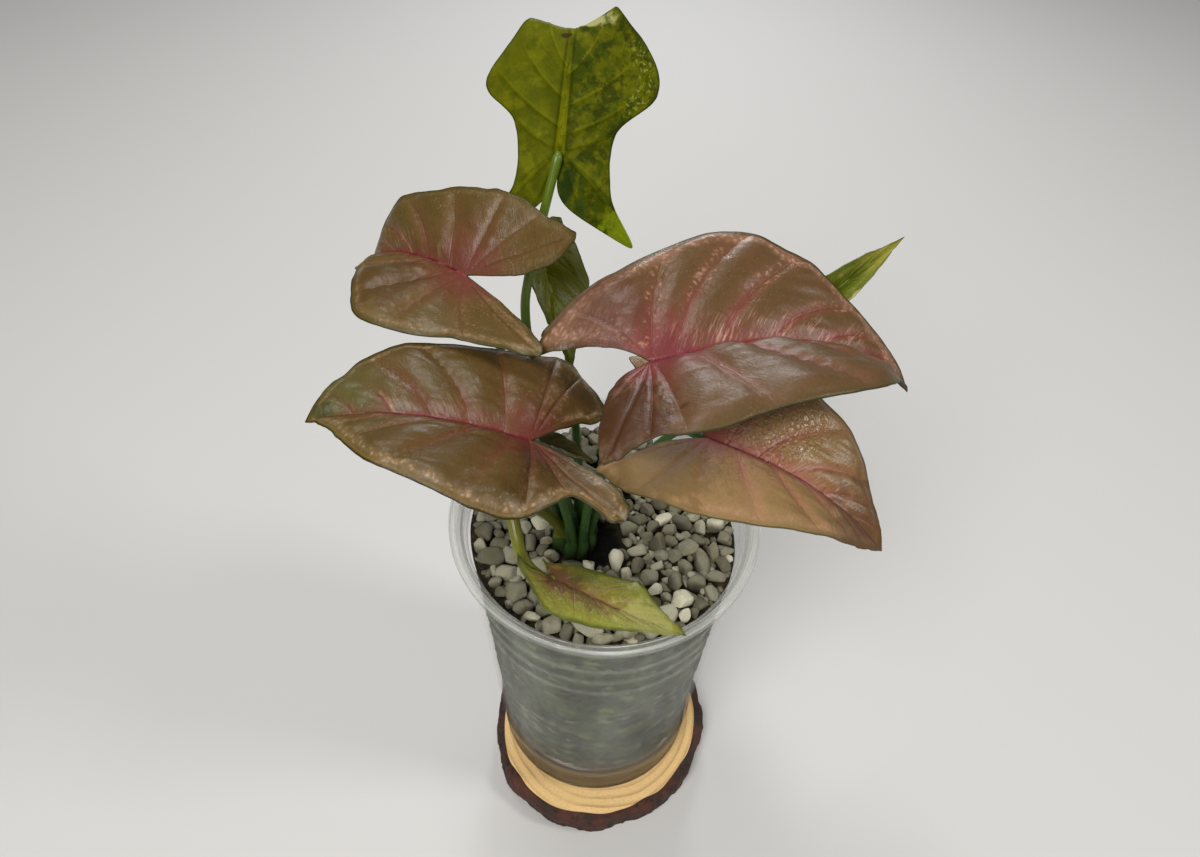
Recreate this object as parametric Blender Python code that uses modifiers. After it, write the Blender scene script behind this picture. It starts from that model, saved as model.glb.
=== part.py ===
"""Arrowhead plant in a clear nursery cup on a wood slice.

Units are metres with +Z up. The origin is the underside of the wood slice, below the axis of the pot.
Driving dimensions are written in millimetres and degrees and turned into metres where vertices are made.
"""

import math
import random
from dataclasses import dataclass, field

import bmesh
import bpy
from mathutils import Matrix, Vector

MM = 0.001
GAP = 0.3            # clearance between pieces that touch, mm

# Wood slice, mm
SLICE_CENTRE = (1.7, -6.0)
SLICE_RADII = (42.5, 44.5)       # across and in depth
SLICE_THICKNESS = 10.0
SLICE_POINTS = 72
BARK_LUMPS = ((2, 0.7, 0.4), (3, 0.6, 1.9), (7, 0.45, 0.8), (13, 0.35, 2.5))   # waves a turn, height mm, phase

# Pot, mm above its own foot
POT_RADIUS_FOOT = 36.8
POT_RADIUS_BELOW_BAND = 43.2
POT_RADIUS_RIM = 47.5
POT_HEIGHT = 134.0
POT_WALL = 1.0
POT_FLOOR_HEIGHT = 16.0
POT_BAND_HEIGHT = 127.0
POT_SEGMENTS = 48
DRAIN_HOLE_RADIUS = 3.0
DRAIN_HOLE_CIRCLE = 20.0
DRAIN_HOLES = 5

# Growing mix and pumice, mm above the pot's foot
MIX_TOP = 121.0          # at the pot axis
PUMICE_TOP = 125.0       # at the pot axis
SURFACE_SLOPE = 0.075    # the surface falls towards +X
STONE_COUNT = 118
STONE_RADIUS = (2.0, 3.6)
STONE_SEED = 7

# Stem crown, mm
CROWN_CENTRE = (-9.0, -6.0)
CROWN_RADIUS = 6.9
CROWN_TOP = 141.0
ROOT_STOCK_RADIUS = 5.0
ROOT_STOCK_BOTTOM = 118.0
PETIOLE_RING = 5.1

BLADE_THICKNESS = 0.8
SPAN_SAMPLES = 4         # columns between two landmarks of a blade's edge
BLADE_ROWS = 3


@dataclass(frozen=True)
class Finish:
    """Colour and class of one piece."""

    name: str
    colour: tuple
    roughness: float


@dataclass(frozen=True)
class Half:
    """One half of a blade, from the midrib out. Lengths in mm, angles in degrees."""

    width: float             # widest point from the midrib
    widest_at: float = 0.10  # its place along the midrib, as a share of the blade's length
    shoulder: float = 0.72   # width at 58 % of the length, as a share of the widest
    point: float = 0.24      # width at 86 % of the length
    waist: float = 0.0       # width just in front of the stalk, where the blade narrows above its lobes
    flank: float = 0.80      # width half way down the lobe
    lobe: float = 20.0       # how far the lobe reaches back behind the stalk
    splay: float = 18.0      # the lobe tip's distance from the midline
    inset: float = 0.45      # how open the notch is, as a share of the splay
    lobe_bend: float = 0.0   # the lobe's upward curl from the stalk to its tip
    lift: float = 10.0       # rise of the half beside the midrib
    droop: float = -15.0     # change of that rise at the widest point
    late_fold: float = 0.0   # how much later the tip's fold starts away from the midrib, as a share of the length
    blunt: float = 0.0       # width of the lobe's rounded end


@dataclass(frozen=True)
class Leaf:
    """A blade with its stalk. Places in mm in the part's frame, angles in degrees."""

    name: str
    joint: tuple             # where the stalk meets the blade
    heading: float           # compass direction of the midrib, from +X towards +Y
    pitch: float             # rise of the midrib
    roll: float              # turn about the midrib
    length: float            # from the stalk to the tip, along the blade
    left: Half
    right: Half
    arch: float              # bend along the midrib
    tip_drop: float          # further bend that grows towards the tip
    curl: float = 0.0        # a tighter fold near the tip
    curl_at: float = 0.6
    wave: float = 0.6        # height of the waved edge
    samples: int = SPAN_SAMPLES
    ring_angle: float = 0.0  # place of the stalk's foot on the crown
    ring_radius: float = PETIOLE_RING
    stalk: tuple = ()        # points that the stalk passes through
    stalk_radius: tuple = (1.6, 1.0)
    finish: Finish = field(default=Finish("leaf_rose", (0.30, 0.15, 0.11, 1.0), 0.35))


def remove_everything():
    """Start from an empty scene."""
    for item in list(bpy.data.objects):
        bpy.data.objects.remove(item, do_unlink=True)


def material(finish):
    """Return the Principled material of a finish, made once."""
    found = bpy.data.materials.get(finish.name)
    if found:
        return found
    made = bpy.data.materials.new(finish.name)
    made.use_nodes = True
    shader = made.node_tree.nodes["Principled BSDF"]
    shader.inputs["Base Color"].default_value = finish.colour
    shader.inputs["Roughness"].default_value = finish.roughness
    shader.inputs["Alpha"].default_value = finish.colour[3]
    made.diffuse_color = finish.colour
    return made


def add_object(name, mesh, finish):
    """Link a mesh as a named object with its material."""
    made = bpy.data.objects.new(name, mesh)
    bpy.context.scene.collection.objects.link(made)
    mesh.materials.append(material(finish))
    return made


def mesh_from(name, bm):
    """Turn a bmesh in mm into a mesh in metres with outward faces."""
    bmesh.ops.recalc_face_normals(bm, faces=bm.faces)
    bmesh.ops.scale(bm, vec=Vector((MM, MM, MM)), verts=bm.verts)
    mesh = bpy.data.meshes.new(name)
    bm.to_mesh(mesh)
    bm.free()
    return mesh


def apply_modifiers(item):
    """Replace an object's mesh by the one its modifiers make."""
    graph = bpy.context.evaluated_depsgraph_get()
    graph.update()
    result = bpy.data.meshes.new_from_object(item.evaluated_get(graph))
    item.modifiers.clear()
    item.data = result


def turned(profile, segments, place=None):
    """Turn a closed profile of (radius, height) about the axis.

    A point at radius 0 becomes a single vertex. place(radius, height, angle) may move each vertex.
    """
    place = place or (lambda r, z, a: (r * math.cos(a), r * math.sin(a), z))
    bm = bmesh.new()
    rings = []
    for radius, height in profile:
        count = segments if radius > 0 else 1
        rings.append([bm.verts.new(place(radius, height, 2 * math.pi * k / segments)) for k in range(count)])
    for first, second in zip(rings, rings[1:] + rings[:1]):
        if len(first) == 1 and len(second) == 1:
            continue
        for k in range(segments):
            corners = [first[k % len(first)], first[(k + 1) % len(first)],
                       second[(k + 1) % len(second)], second[k % len(second)]]
            unique = [c for i, c in enumerate(corners) if c not in corners[:i]]
            bm.faces.new(unique)
    return bm


def boolean(item, other, operation, solver="MANIFOLD"):
    """Cut or join with another object, which is then removed."""
    modifier = item.modifiers.new(operation.lower(), "BOOLEAN")
    modifier.operation = operation
    modifier.solver = solver
    modifier.object = other
    apply_modifiers(item)
    bpy.data.objects.remove(other, do_unlink=True)


def cylinder(name, centre, radius, low, high, segments=32):
    """A plain upright cylinder, for holes."""
    bm = turned([(0, low), (radius, low), (radius, high), (0, high)], segments)
    bmesh.ops.translate(bm, vec=Vector((centre[0], centre[1], 0)), verts=bm.verts)
    return add_object(name, mesh_from(name, bm), Finish("cutter", (0.5, 0.5, 0.5, 1), 0.5))


def pot_inner_radius(height):
    """Inner radius of the pot's wall at a height above its foot, mm."""
    share = min(max(height / POT_BAND_HEIGHT, 0.0), 1.0)
    return POT_RADIUS_FOOT + (POT_RADIUS_BELOW_BAND - POT_RADIUS_FOOT) * share - POT_WALL


def build_slice():
    """The wood slice, with bark round a flat top and underside."""
    bm = bmesh.new()
    rings = []
    for height, inset in ((0.0, 0.8), (1.2, 0.0), (SLICE_THICKNESS - 1.2, 0.0), (SLICE_THICKNESS, 0.8)):
        ring = []
        for k in range(SLICE_POINTS):
            angle = 2 * math.pi * k / SLICE_POINTS
            swell = sum(size * math.sin(count * angle + phase) for count, size, phase in BARK_LUMPS) - inset
            ring.append(bm.verts.new((SLICE_CENTRE[0] + (SLICE_RADII[0] + swell) * math.cos(angle),
                                      SLICE_CENTRE[1] + (SLICE_RADII[1] + swell) * math.sin(angle), height)))
        rings.append(ring)
    for lower, upper in zip(rings, rings[1:]):
        for k in range(SLICE_POINTS):
            n = (k + 1) % SLICE_POINTS
            bm.faces.new((lower[k], lower[n], upper[n], upper[k]))
    bm.faces.new(rings[0][::-1])
    bm.faces.new(rings[-1])
    return add_object("wood_slice", mesh_from("wood_slice", bm), Finish("wood", (0.55, 0.38, 0.22, 1), 0.7))


POT_FOOT = SLICE_THICKNESS + GAP


def build_pot():
    """The clear cup: skirt, raised floor, tapered wall, stepped band and rolled rim."""
    foot, band, rim = POT_RADIUS_FOOT, POT_RADIUS_BELOW_BAND, POT_RADIUS_RIM
    floor = POT_FLOOR_HEIGHT
    top = POT_HEIGHT

    def outer(height):
        return pot_inner_radius(height) + POT_WALL

    profile = [
        (0.0, floor - POT_WALL), (outer(floor) - 2.6, floor - POT_WALL), (outer(floor) - POT_WALL, floor - 2.4),
        (foot - POT_WALL, 0.0), (foot, 0.0), (outer(40.0), 40.0), (outer(85.0), 85.0),
        (band, POT_BAND_HEIGHT), (band + 1.0, POT_BAND_HEIGHT + 1.0), (band + 1.2, top - 4.6),
        (rim - 1.3, top - 4.0), (rim - 0.2, top - 3.2), (rim, top - 1.4), (rim - 0.8, top - 0.2),
        (rim - 1.6, top), (rim - 2.5, top - 0.5), (band + 0.4, top - 2.6), (band + 0.1, POT_BAND_HEIGHT + 1.6),
        (band - POT_WALL, POT_BAND_HEIGHT + 0.4), (pot_inner_radius(85.0), 85.0), (pot_inner_radius(40.0), 40.0),
        (pot_inner_radius(floor + 1.6), floor + 1.6), (pot_inner_radius(floor) - 1.6, floor), (0.0, floor),
    ]
    profile = [(radius, height + POT_FOOT) for radius, height in profile]
    pot = add_object("pot", mesh_from("pot", turned(profile, POT_SEGMENTS)),
                     Finish("clear_plastic", (0.80, 0.82, 0.80, 0.35), 0.25))
    for k in range(DRAIN_HOLES):
        angle = 2 * math.pi * (k + 0.5) / DRAIN_HOLES
        centre = (DRAIN_HOLE_CIRCLE * math.cos(angle), DRAIN_HOLE_CIRCLE * math.sin(angle))
        hole = cylinder("drain_cutter", centre, DRAIN_HOLE_RADIUS, POT_FOOT + floor - 5, POT_FOOT + floor + 5, 16)
        boolean(pot, hole, "DIFFERENCE")
    return pot


def sloped(radius, height, angle, clearance=GAP):
    """Place a point of the tilted surface so that it stays inside the tapered wall."""
    reach = min(radius, pot_inner_radius(height) - clearance)
    lift = -SURFACE_SLOPE * reach * math.cos(angle)
    reach = min(radius, pot_inner_radius(height + lift) - clearance)
    return (reach * math.cos(angle), reach * math.sin(angle), height + lift + POT_FOOT)


def build_mix():
    """The growing mix, from the raised floor up to the tilted surface under the stones."""
    low = POT_FLOOR_HEIGHT + GAP
    levels = (low + 2.2, 45.0, 80.0)

    def place(radius, height, angle):
        if height >= MIX_TOP:
            return sloped(radius, height, angle)
        return (radius * math.cos(angle), radius * math.sin(angle), height + POT_FOOT)

    wall = [(pot_inner_radius(height) - GAP, height) for height in levels]
    profile = [(0.0, low), (pot_inner_radius(low) - 2.4, low)] + wall
    profile += [(99.0, MIX_TOP), (20.0, MIX_TOP), (0.0, MIX_TOP)]
    mix = add_object("growing_mix", mesh_from("growing_mix", turned(profile, POT_SEGMENTS, place)),
                     Finish("growing_mix", (0.16, 0.15, 0.11, 1), 0.95))
    hole = cylinder("root_cutter", CROWN_CENTRE, ROOT_STOCK_RADIUS + GAP, ROOT_STOCK_BOTTOM - GAP, 160.0, 24)
    boolean(mix, hole, "DIFFERENCE")
    return mix


def surface_height(x, y):
    """Height of the pumice bed above the part's origin, mm."""
    return POT_FOOT + PUMICE_TOP - SURFACE_SLOPE * x


def stone_places():
    """Yield centre, radius and turn for each pumice stone, kept clear of the wall and the crown."""
    rng = random.Random(STONE_SEED)
    placed = []
    tries = 0
    while len(placed) < STONE_COUNT and tries < 20000:
        tries += 1
        size = rng.uniform(*STONE_RADIUS)
        reach = (pot_inner_radius(PUMICE_TOP) - size * 1.25 - GAP) * math.sqrt(rng.random())
        angle = rng.uniform(0, 2 * math.pi)
        x, y = reach * math.cos(angle), reach * math.sin(angle)
        if math.hypot(x - CROWN_CENTRE[0], y - CROWN_CENTRE[1]) < CROWN_RADIUS + 1.0 + size * 1.2:
            continue
        if any(math.hypot(x - px, y - py) < 0.92 * (size + ps) for px, py, ps in placed):
            continue
        placed.append((x, y, size))
        turn = Matrix.Rotation(rng.uniform(0, 6.28), 4, Vector((rng.random(), rng.random(), 1)))
        squash = Matrix.Diagonal((rng.uniform(0.95, 1.2), rng.uniform(0.8, 1.0), rng.uniform(0.65, 0.85), 1))
        yield (x, y, surface_height(x, y) + rng.uniform(0.0, 0.9)), size, turn @ squash


def build_topping():
    """A bed of pumice with its top stones fused on."""
    base = MIX_TOP + GAP

    def place(radius, height, angle):
        return sloped(radius, height, angle, GAP)

    profile = [(0.0, base), (99.0, base), (99.0, PUMICE_TOP), (22.0, PUMICE_TOP), (0.0, PUMICE_TOP)]
    bed = add_object("pumice_topping", mesh_from("pumice_topping", turned(profile, 48, place)),
                     Finish("pumice", (0.78, 0.76, 0.70, 1), 0.9))
    stones = bpy.data.collections.new("stones")
    for k, (centre, size, turn) in enumerate(stone_places()):
        bm = bmesh.new()
        bmesh.ops.create_icosphere(bm, subdivisions=1, radius=size)
        bmesh.ops.transform(bm, matrix=Matrix.Translation(Vector(centre)) @ turn, verts=bm.verts)
        mesh = mesh_from(f"stone_{k}", bm)
        stones.objects.link(bpy.data.objects.new(f"stone_{k}", mesh))
    modifier = bed.modifiers.new("union", "BOOLEAN")
    modifier.operation = "UNION"
    modifier.operand_type = "COLLECTION"
    modifier.solver = "MANIFOLD"
    modifier.collection = stones
    apply_modifiers(bed)
    for stone in list(stones.objects):
        bpy.data.objects.remove(stone, do_unlink=True)
    bpy.data.collections.remove(stones)
    hole = cylinder("crown_cutter", CROWN_CENTRE, CROWN_RADIUS + GAP, 100.0, 170.0, 32)
    boolean(bed, hole, "DIFFERENCE")
    bed.data.materials.clear()
    bed.data.materials.append(material(Finish("pumice", (0.78, 0.76, 0.70, 1), 0.9)))
    return bed


def build_crown():
    """The stem crown with its root stock in the mix."""
    shoulder = POT_FOOT + MIX_TOP + 1.5
    profile = [(0.0, ROOT_STOCK_BOTTOM), (3.0, ROOT_STOCK_BOTTOM), (ROOT_STOCK_RADIUS, ROOT_STOCK_BOTTOM + 3),
               (ROOT_STOCK_RADIUS, shoulder), (CROWN_RADIUS, shoulder + 1.5), (CROWN_RADIUS, CROWN_TOP - 1.0),
               (CROWN_RADIUS - 0.3, CROWN_TOP), (0.0, CROWN_TOP)]
    bm = turned(profile, 24)
    bmesh.ops.translate(bm, vec=Vector((CROWN_CENTRE[0], CROWN_CENTRE[1], 0)), verts=bm.verts)
    return add_object("stem_crown", mesh_from("stem_crown", bm), Finish("stem_green", (0.10, 0.20, 0.06, 1), 0.5))


def spline(points, samples):
    """Catmull-Rom curve through points (tuples), with equal samples on each span."""
    rows = [Vector(p) for p in points]
    rows = [rows[0] * 2 - rows[1]] + rows + [rows[-1] * 2 - rows[-2]]
    curve = []
    for i in range(1, len(rows) - 2):
        a, b, c, d = rows[i - 1:i + 3]
        for k in range(samples):
            t = k / samples
            curve.append(0.5 * (2 * b + (c - a) * t + (2 * a - 5 * b + 4 * c - d) * t * t
                                + (3 * b - a - 3 * c + d) * t ** 3))
    curve.append(rows[-2])
    return curve


def mean_turn(distance, angle_at, steps=16):
    """Integrate (cos, sin) of a direction that changes along a distance."""
    across = along = 0.0
    for k in range(steps):
        angle = angle_at(distance * (k + 0.5) / steps)
        along += math.cos(angle)
        across += math.sin(angle)
    return distance * along / steps, distance * across / steps


class Blade:
    """The curved middle surface of a leaf."""

    def __init__(self, leaf):
        self.leaf = leaf
        heading, pitch, roll = (math.radians(v) for v in (leaf.heading, leaf.pitch, leaf.roll))
        self.forward = Vector((math.cos(heading) * math.cos(pitch), math.sin(heading) * math.cos(pitch),
                               math.sin(pitch)))
        level = Vector((math.sin(heading), -math.cos(heading), 0.0))
        upright = level.cross(self.forward)
        self.side = level * math.cos(roll) + upright * math.sin(roll)
        self.normal = upright * math.cos(roll) - level * math.sin(roll)

    def midrib_angle(self, distance, late=0.0):
        """Bend of the midrib at a distance from the stalk, or beside it with a fold that starts later."""
        leaf = self.leaf
        share = distance / leaf.length
        fold = min(max((share - leaf.curl_at - late) / 0.25, 0.0), 1.0)
        fold = fold * fold * (3 - 2 * fold)
        return math.radians(leaf.arch * share + leaf.tip_drop * share * share + leaf.curl * fold)

    def point(self, half, sign, across, along, lift=0.0):
        """Bend a point of the flat leaf into its place in space."""
        if along >= 0:
            late = half.late_fold * min(across / (0.45 * half.width), 1.0)
            forward, rise = mean_turn(along, lambda distance: self.midrib_angle(distance, late))
            angle = self.midrib_angle(along, late)
        else:
            def lobe_angle(distance):
                return math.radians(half.lobe_bend) * distance / half.lobe
            forward, rise = mean_turn(-along, lobe_angle)
            forward = -forward
            angle = -lobe_angle(-along)

        def side_angle(distance):
            return math.radians(half.lift + half.droop * distance / half.width)
        out, up = mean_turn(across, side_angle)
        up += lift
        local_up = self.normal * math.cos(angle) - self.forward * math.sin(angle)
        return (Vector(self.leaf.joint) + self.forward * forward + self.normal * rise
                + self.side * (sign * out) + local_up * up)

    def edge(self, half, samples):
        """The half's edge from the tip, round the lobe, to the stalk."""
        length, width, lobe = self.leaf.length, half.width, half.lobe
        front = [(0.0, length, 0.0), (half.point * width, 0.86 * length, 0.0),
                 (half.shoulder * width, 0.58 * length, 0.0), (width, half.widest_at * length, 0.0)]
        if half.waist:
            front.append((half.waist * width, 0.12 * length, 0.0))
        tip = Vector((half.splay, -lobe, 0.0))
        beside = Vector((lobe, half.splay, 0.0)).normalized() * (half.blunt / 2)
        end = [tuple(tip + beside), tuple(tip - beside)] if half.blunt else [tuple(tip)]
        notch = [(half.inset * half.splay, -0.62 * lobe, 0.0)]
        return spline(front + [(half.flank * width, -0.45 * lobe, 0.0)] + end + notch + [(0.0, 0.0, 0.0)], samples)

    def rib(self, half, samples):
        """The line that the half is filled from: midrib, then out and back along the lobe's vein."""
        length, lobe = self.leaf.length, half.lobe
        outer = Vector((half.flank * half.width, -0.45 * lobe, 0.0))
        inner = Vector((half.inset * half.splay, -0.62 * lobe, 0.0))
        middle = (outer + inner) / 2
        end = Vector((half.splay, -lobe, 0.0)) * 0.7 + middle * 0.3
        shares = (1.0, 0.80, 0.55, 0.25, 0.0) if half.waist else (1.0, 0.80, 0.45, 0.0)
        stops = [Vector((0.0, share * length, 0.0)) for share in shares]
        stops += [middle, end] + ([end] if half.blunt else []) + [middle, Vector((0.0, 0.0, 0.0))]
        line = []
        for first, second in zip(stops, stops[1:]):
            line += [first.lerp(second, k / samples) for k in range(samples)]
        return line + [stops[-1]]

    def build(self):
        """The closed blade as an object."""
        leaf = self.leaf
        bm = bmesh.new()
        for half, sign in ((leaf.left, -1), (leaf.right, 1)):
            edge = self.edge(half, leaf.samples)
            rib = self.rib(half, leaf.samples)
            columns = []
            for k, (start, end) in enumerate(zip(rib, edge)):
                column = []
                for row in range(BLADE_ROWS + 1):
                    share = row / BLADE_ROWS
                    flat = start.lerp(end, share)
                    phase = 2 * math.pi * 4.2 * k / (len(edge) - 1) + (1.3 if sign > 0 else 0.2)
                    fade = min(1.0, k / 4, (len(edge) - 1 - k) / 4)
                    lift = leaf.wave * share ** 2 * math.sin(phase) * fade
                    column.append(bm.verts.new(self.point(half, sign, flat.x, flat.y, lift)))
                columns.append(column)
            for first, second in zip(columns, columns[1:]):
                for row in range(BLADE_ROWS):
                    corners = (first[row], first[row + 1], second[row + 1], second[row])
                    bm.faces.new(corners if sign > 0 else corners[::-1])
        bmesh.ops.remove_doubles(bm, verts=bm.verts, dist=0.02)
        bmesh.ops.triangulate(bm, faces=bm.faces)
        name = f"blade_{leaf.name}"
        blade = add_object(name, mesh_from(name, bm), leaf.finish)
        solid = blade.modifiers.new("thickness", "SOLIDIFY")
        solid.thickness = BLADE_THICKNESS * MM
        solid.offset = 0.0
        apply_modifiers(blade)
        return blade


def build_petiole(leaf, blade):
    """The stalk of a leaf, from the crown to just under its blade."""
    angle = math.radians(leaf.ring_angle)
    foot = Vector((CROWN_CENTRE[0] + leaf.ring_radius * math.cos(angle),
                   CROWN_CENTRE[1] + leaf.ring_radius * math.sin(angle), CROWN_TOP + 2.5 * GAP))
    stops = [foot, foot + Vector((0, 0, 5))] + [Vector(p) for p in leaf.stalk]
    thick, thin = leaf.stalk_radius
    direction = (Vector(leaf.joint) - stops[-1]).normalized()
    lean = math.sqrt(max(0.0, 1.0 - direction.dot(blade.normal) ** 2))
    drop = BLADE_THICKNESS / 2 + GAP + thin * lean
    stops.append(Vector(leaf.joint) - blade.normal * drop)
    line = spline(stops, 4)
    curve = bpy.data.curves.new(f"petiole_{leaf.name}", "CURVE")
    curve.dimensions = "3D"
    curve.bevel_depth = MM
    curve.bevel_resolution = 1
    curve.use_fill_caps = True
    path = curve.splines.new("POLY")
    path.points.add(len(line) - 1)
    for k, spot in enumerate(line):
        share = k / (len(line) - 1)
        path.points[k].co = (*(spot * MM), 1.0)
        path.points[k].radius = thick + (thin - thick) * share
    holder = bpy.data.objects.new("path", curve)
    bpy.context.scene.collection.objects.link(holder)
    graph = bpy.context.evaluated_depsgraph_get()
    mesh = bpy.data.meshes.new_from_object(holder.evaluated_get(graph))
    bpy.data.objects.remove(holder, do_unlink=True)
    mesh.materials.clear()
    return add_object(f"petiole_{leaf.name}", mesh, Finish("stalk_green", (0.10, 0.24, 0.07, 1), 0.4))


ROSE = Finish("leaf_rose", (0.30, 0.15, 0.11, 1.0), 0.35)
GREEN = Finish("leaf_green", (0.17, 0.22, 0.02, 1.0), 0.4)
MIXED = Finish("leaf_mixed", (0.32, 0.30, 0.12, 1.0), 0.4)
OLIVE = Finish("leaf_olive", (0.20, 0.20, 0.08, 1.0), 0.45)

LEAVES = (
    Leaf("top", (-15.7, 42.7, 240.2), heading=80, pitch=62, roll=180, length=46,
         left=Half(24, widest_at=0.35, shoulder=0.81, point=0.15, waist=0.58, flank=0.62, lobe=21, splay=22,
                   inset=0.10, lobe_bend=10, lift=4, droop=-30, late_fold=0.13),
         right=Half(20, widest_at=0.30, shoulder=0.67, point=0.25, waist=0.62, flank=0.56, lobe=20, splay=15,
                    inset=0.20, lobe_bend=10, lift=4, droop=-27, late_fold=0.02, blunt=4),
         arch=0, tip_drop=0, curl=166, curl_at=0.52, ring_angle=118, stalk_radius=(1.6, 1.2), finish=GREEN,
         stalk=((-18.7, 11.0, 168.0), (-24.6, 26.7, 194.5), (-23.5, 31.5, 210.0), (-19.5, 35.0, 227.0))),
    Leaf("upper_left", (-38.0, 16.5, 220.0), heading=147, pitch=1, roll=6, length=45,
         left=Half(28, widest_at=0.21, shoulder=0.46, point=0.16, flank=0.75, lobe=32, splay=13, inset=0.37,
                   lobe_bend=4, lift=15, droop=-12, blunt=4),
         right=Half(22, widest_at=0.10, shoulder=0.66, point=0.19, flank=1.01, lobe=28, splay=18, inset=0.39,
                    lobe_bend=15, lift=39, droop=-3),
         arch=-20, tip_drop=-46, ring_angle=165, finish=ROSE,
         stalk=((-24.0, 6.0, 175.0), (-31.0, 14.0, 200.0))),
    Leaf("lower_left", (-17.7, -29.4, 210.8), heading=175, pitch=19, roll=-12, length=53,
         left=Half(26, widest_at=0.08, shoulder=0.75, point=0.22, flank=0.67, lobe=21, splay=20, inset=0.31,
                   lobe_bend=24, lift=14, droop=-34, blunt=5),
         right=Half(26, widest_at=0.06, shoulder=0.79, point=0.45, flank=1.02, lobe=15, splay=17, inset=0.57,
                    lobe_bend=-25, lift=26, droop=-26),
         arch=-21, tip_drop=-21, ring_angle=262, finish=ROSE,
         stalk=((-12.0, -15.0, 168.0), (-16.0, -24.0, 193.0))),
    Leaf("right", (7.9, -16.4, 224.7), heading=19, pitch=6, roll=21, length=73,
         left=Half(32, widest_at=0.32, shoulder=0.73, point=0.24, flank=0.70, lobe=15, splay=21, inset=0.55,
                   lobe_bend=-48, lift=40, droop=-8, blunt=3),
         right=Half(32, widest_at=0.05, shoulder=0.82, point=0.22, flank=0.95, lobe=19, splay=31, inset=0.28,
                    lobe_bend=-6, lift=8, droop=-21, blunt=3),
         arch=-19, tip_drop=-42, ring_angle=305, finish=ROSE,
         stalk=((-4.0, -12.0, 170.0), (3.0, -14.5, 200.0))),
    Leaf("lower_right", (24.4, -14.0, 196.4), heading=-17, pitch=-4, roll=6, length=56,
         left=Half(28, widest_at=0.11, shoulder=0.72, point=0.24, flank=0.80, lobe=24, splay=17, inset=0.45,
                   lobe_bend=-5, lift=22, droop=-9, blunt=4),
         right=Half(27, widest_at=0.14, shoulder=0.62, point=0.25, flank=1.03, lobe=22, splay=18, inset=0.51,
                    lobe_bend=-38, lift=13, droop=-13, blunt=4),
         arch=-35, tip_drop=-10, ring_angle=345, finish=ROSE,
         stalk=((1.0, -7.0, 165.0), (13.5, -6.3, 184.5), (18.8, -8.1, 192.0))),
    Leaf("front", (-12.3, -35.7, 161.6), heading=-19, pitch=-14, roll=24, length=37,
         left=Half(11, widest_at=0.48, shoulder=0.95, point=0.34, flank=0.40, lobe=6, splay=4,
                   inset=0.45, lobe_bend=0, lift=20, droop=-14),
         right=Half(13, widest_at=0.04, shoulder=0.63, point=0.16, flank=0.59, lobe=14, splay=5, inset=0.39,
                    lobe_bend=40, lift=12, droop=-27),
         arch=0, tip_drop=10, ring_angle=215, stalk_radius=(1.7, 1.7), finish=MIXED,
         stalk=((-18.0, -13.0, 161.0), (-24.5, -21.0, 174.5), (-23.0, -29.5, 171.0), (-21.0, -32.5, 165.0),
                (-17.4, -34.6, 161.5))),
    Leaf("back_right", (43.6, 15.3, 206.0), heading=27, pitch=32, roll=-35, length=40, samples=3,
         left=Half(8, widest_at=0.20, lobe=9, splay=6, lift=55, droop=-10),
         right=Half(8, widest_at=0.20, lobe=9, splay=6, lift=55, droop=-10),
         arch=8, tip_drop=-14, wave=0.3, ring_angle=25, finish=GREEN,
         stalk=((0.0, 0.0, 165.0), (22.0, 8.0, 188.0))),
    Leaf("hanging", (-22.2, 44.6, 209.3), heading=-67, pitch=-36, roll=0, length=37, samples=3,
         left=Half(11, widest_at=0.35, lobe=6, splay=6, lift=25, droop=-10),
         right=Half(6, widest_at=0.25, lobe=6, splay=3, lift=25, droop=-10),
         arch=-6, tip_drop=-6, wave=0.3, ring_angle=75, finish=GREEN,
         stalk=((-10.0, 16.0, 165.0), (-15.0, 36.0, 190.0))),
    Leaf("inner", (-18.9, 0.8, 174.8), heading=-4, pitch=-21, roll=0, length=17, samples=3,
         left=Half(4, widest_at=0.20, lobe=4, splay=3, lift=25, droop=-10),
         right=Half(4, widest_at=0.20, lobe=4, splay=3, lift=25, droop=-10),
         arch=-6, tip_drop=-6, wave=0.2, ring_radius=0.0, finish=OLIVE, stalk_radius=(1.5, 0.9),
         stalk=((-13.0, -3.5, 160.0),)),
)


def main():
    """Build every piece in order."""
    remove_everything()
    build_slice()
    build_pot()
    build_mix()
    build_topping()
    build_crown()
    for leaf in LEAVES:
        blade = Blade(leaf)
        blade.build()
        build_petiole(leaf, blade)


main()
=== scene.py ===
"""Looks for an arrowhead plant in a clear nursery cup that stands on a wood slice.

Sizes are in millimetres and degrees in the part's own frame, and become metres where vertices are made.
"""

import logging
import math
import random
from collections.abc import Callable, Sequence
from dataclasses import dataclass, field
from enum import Enum

import bmesh
import bpy
import numpy as np
from bmesh.types import BMesh, BMFace, BMVert
from bpy.types import Material, Mesh, NodeSocket, Object
from mathutils import Matrix, Vector, noise


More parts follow.
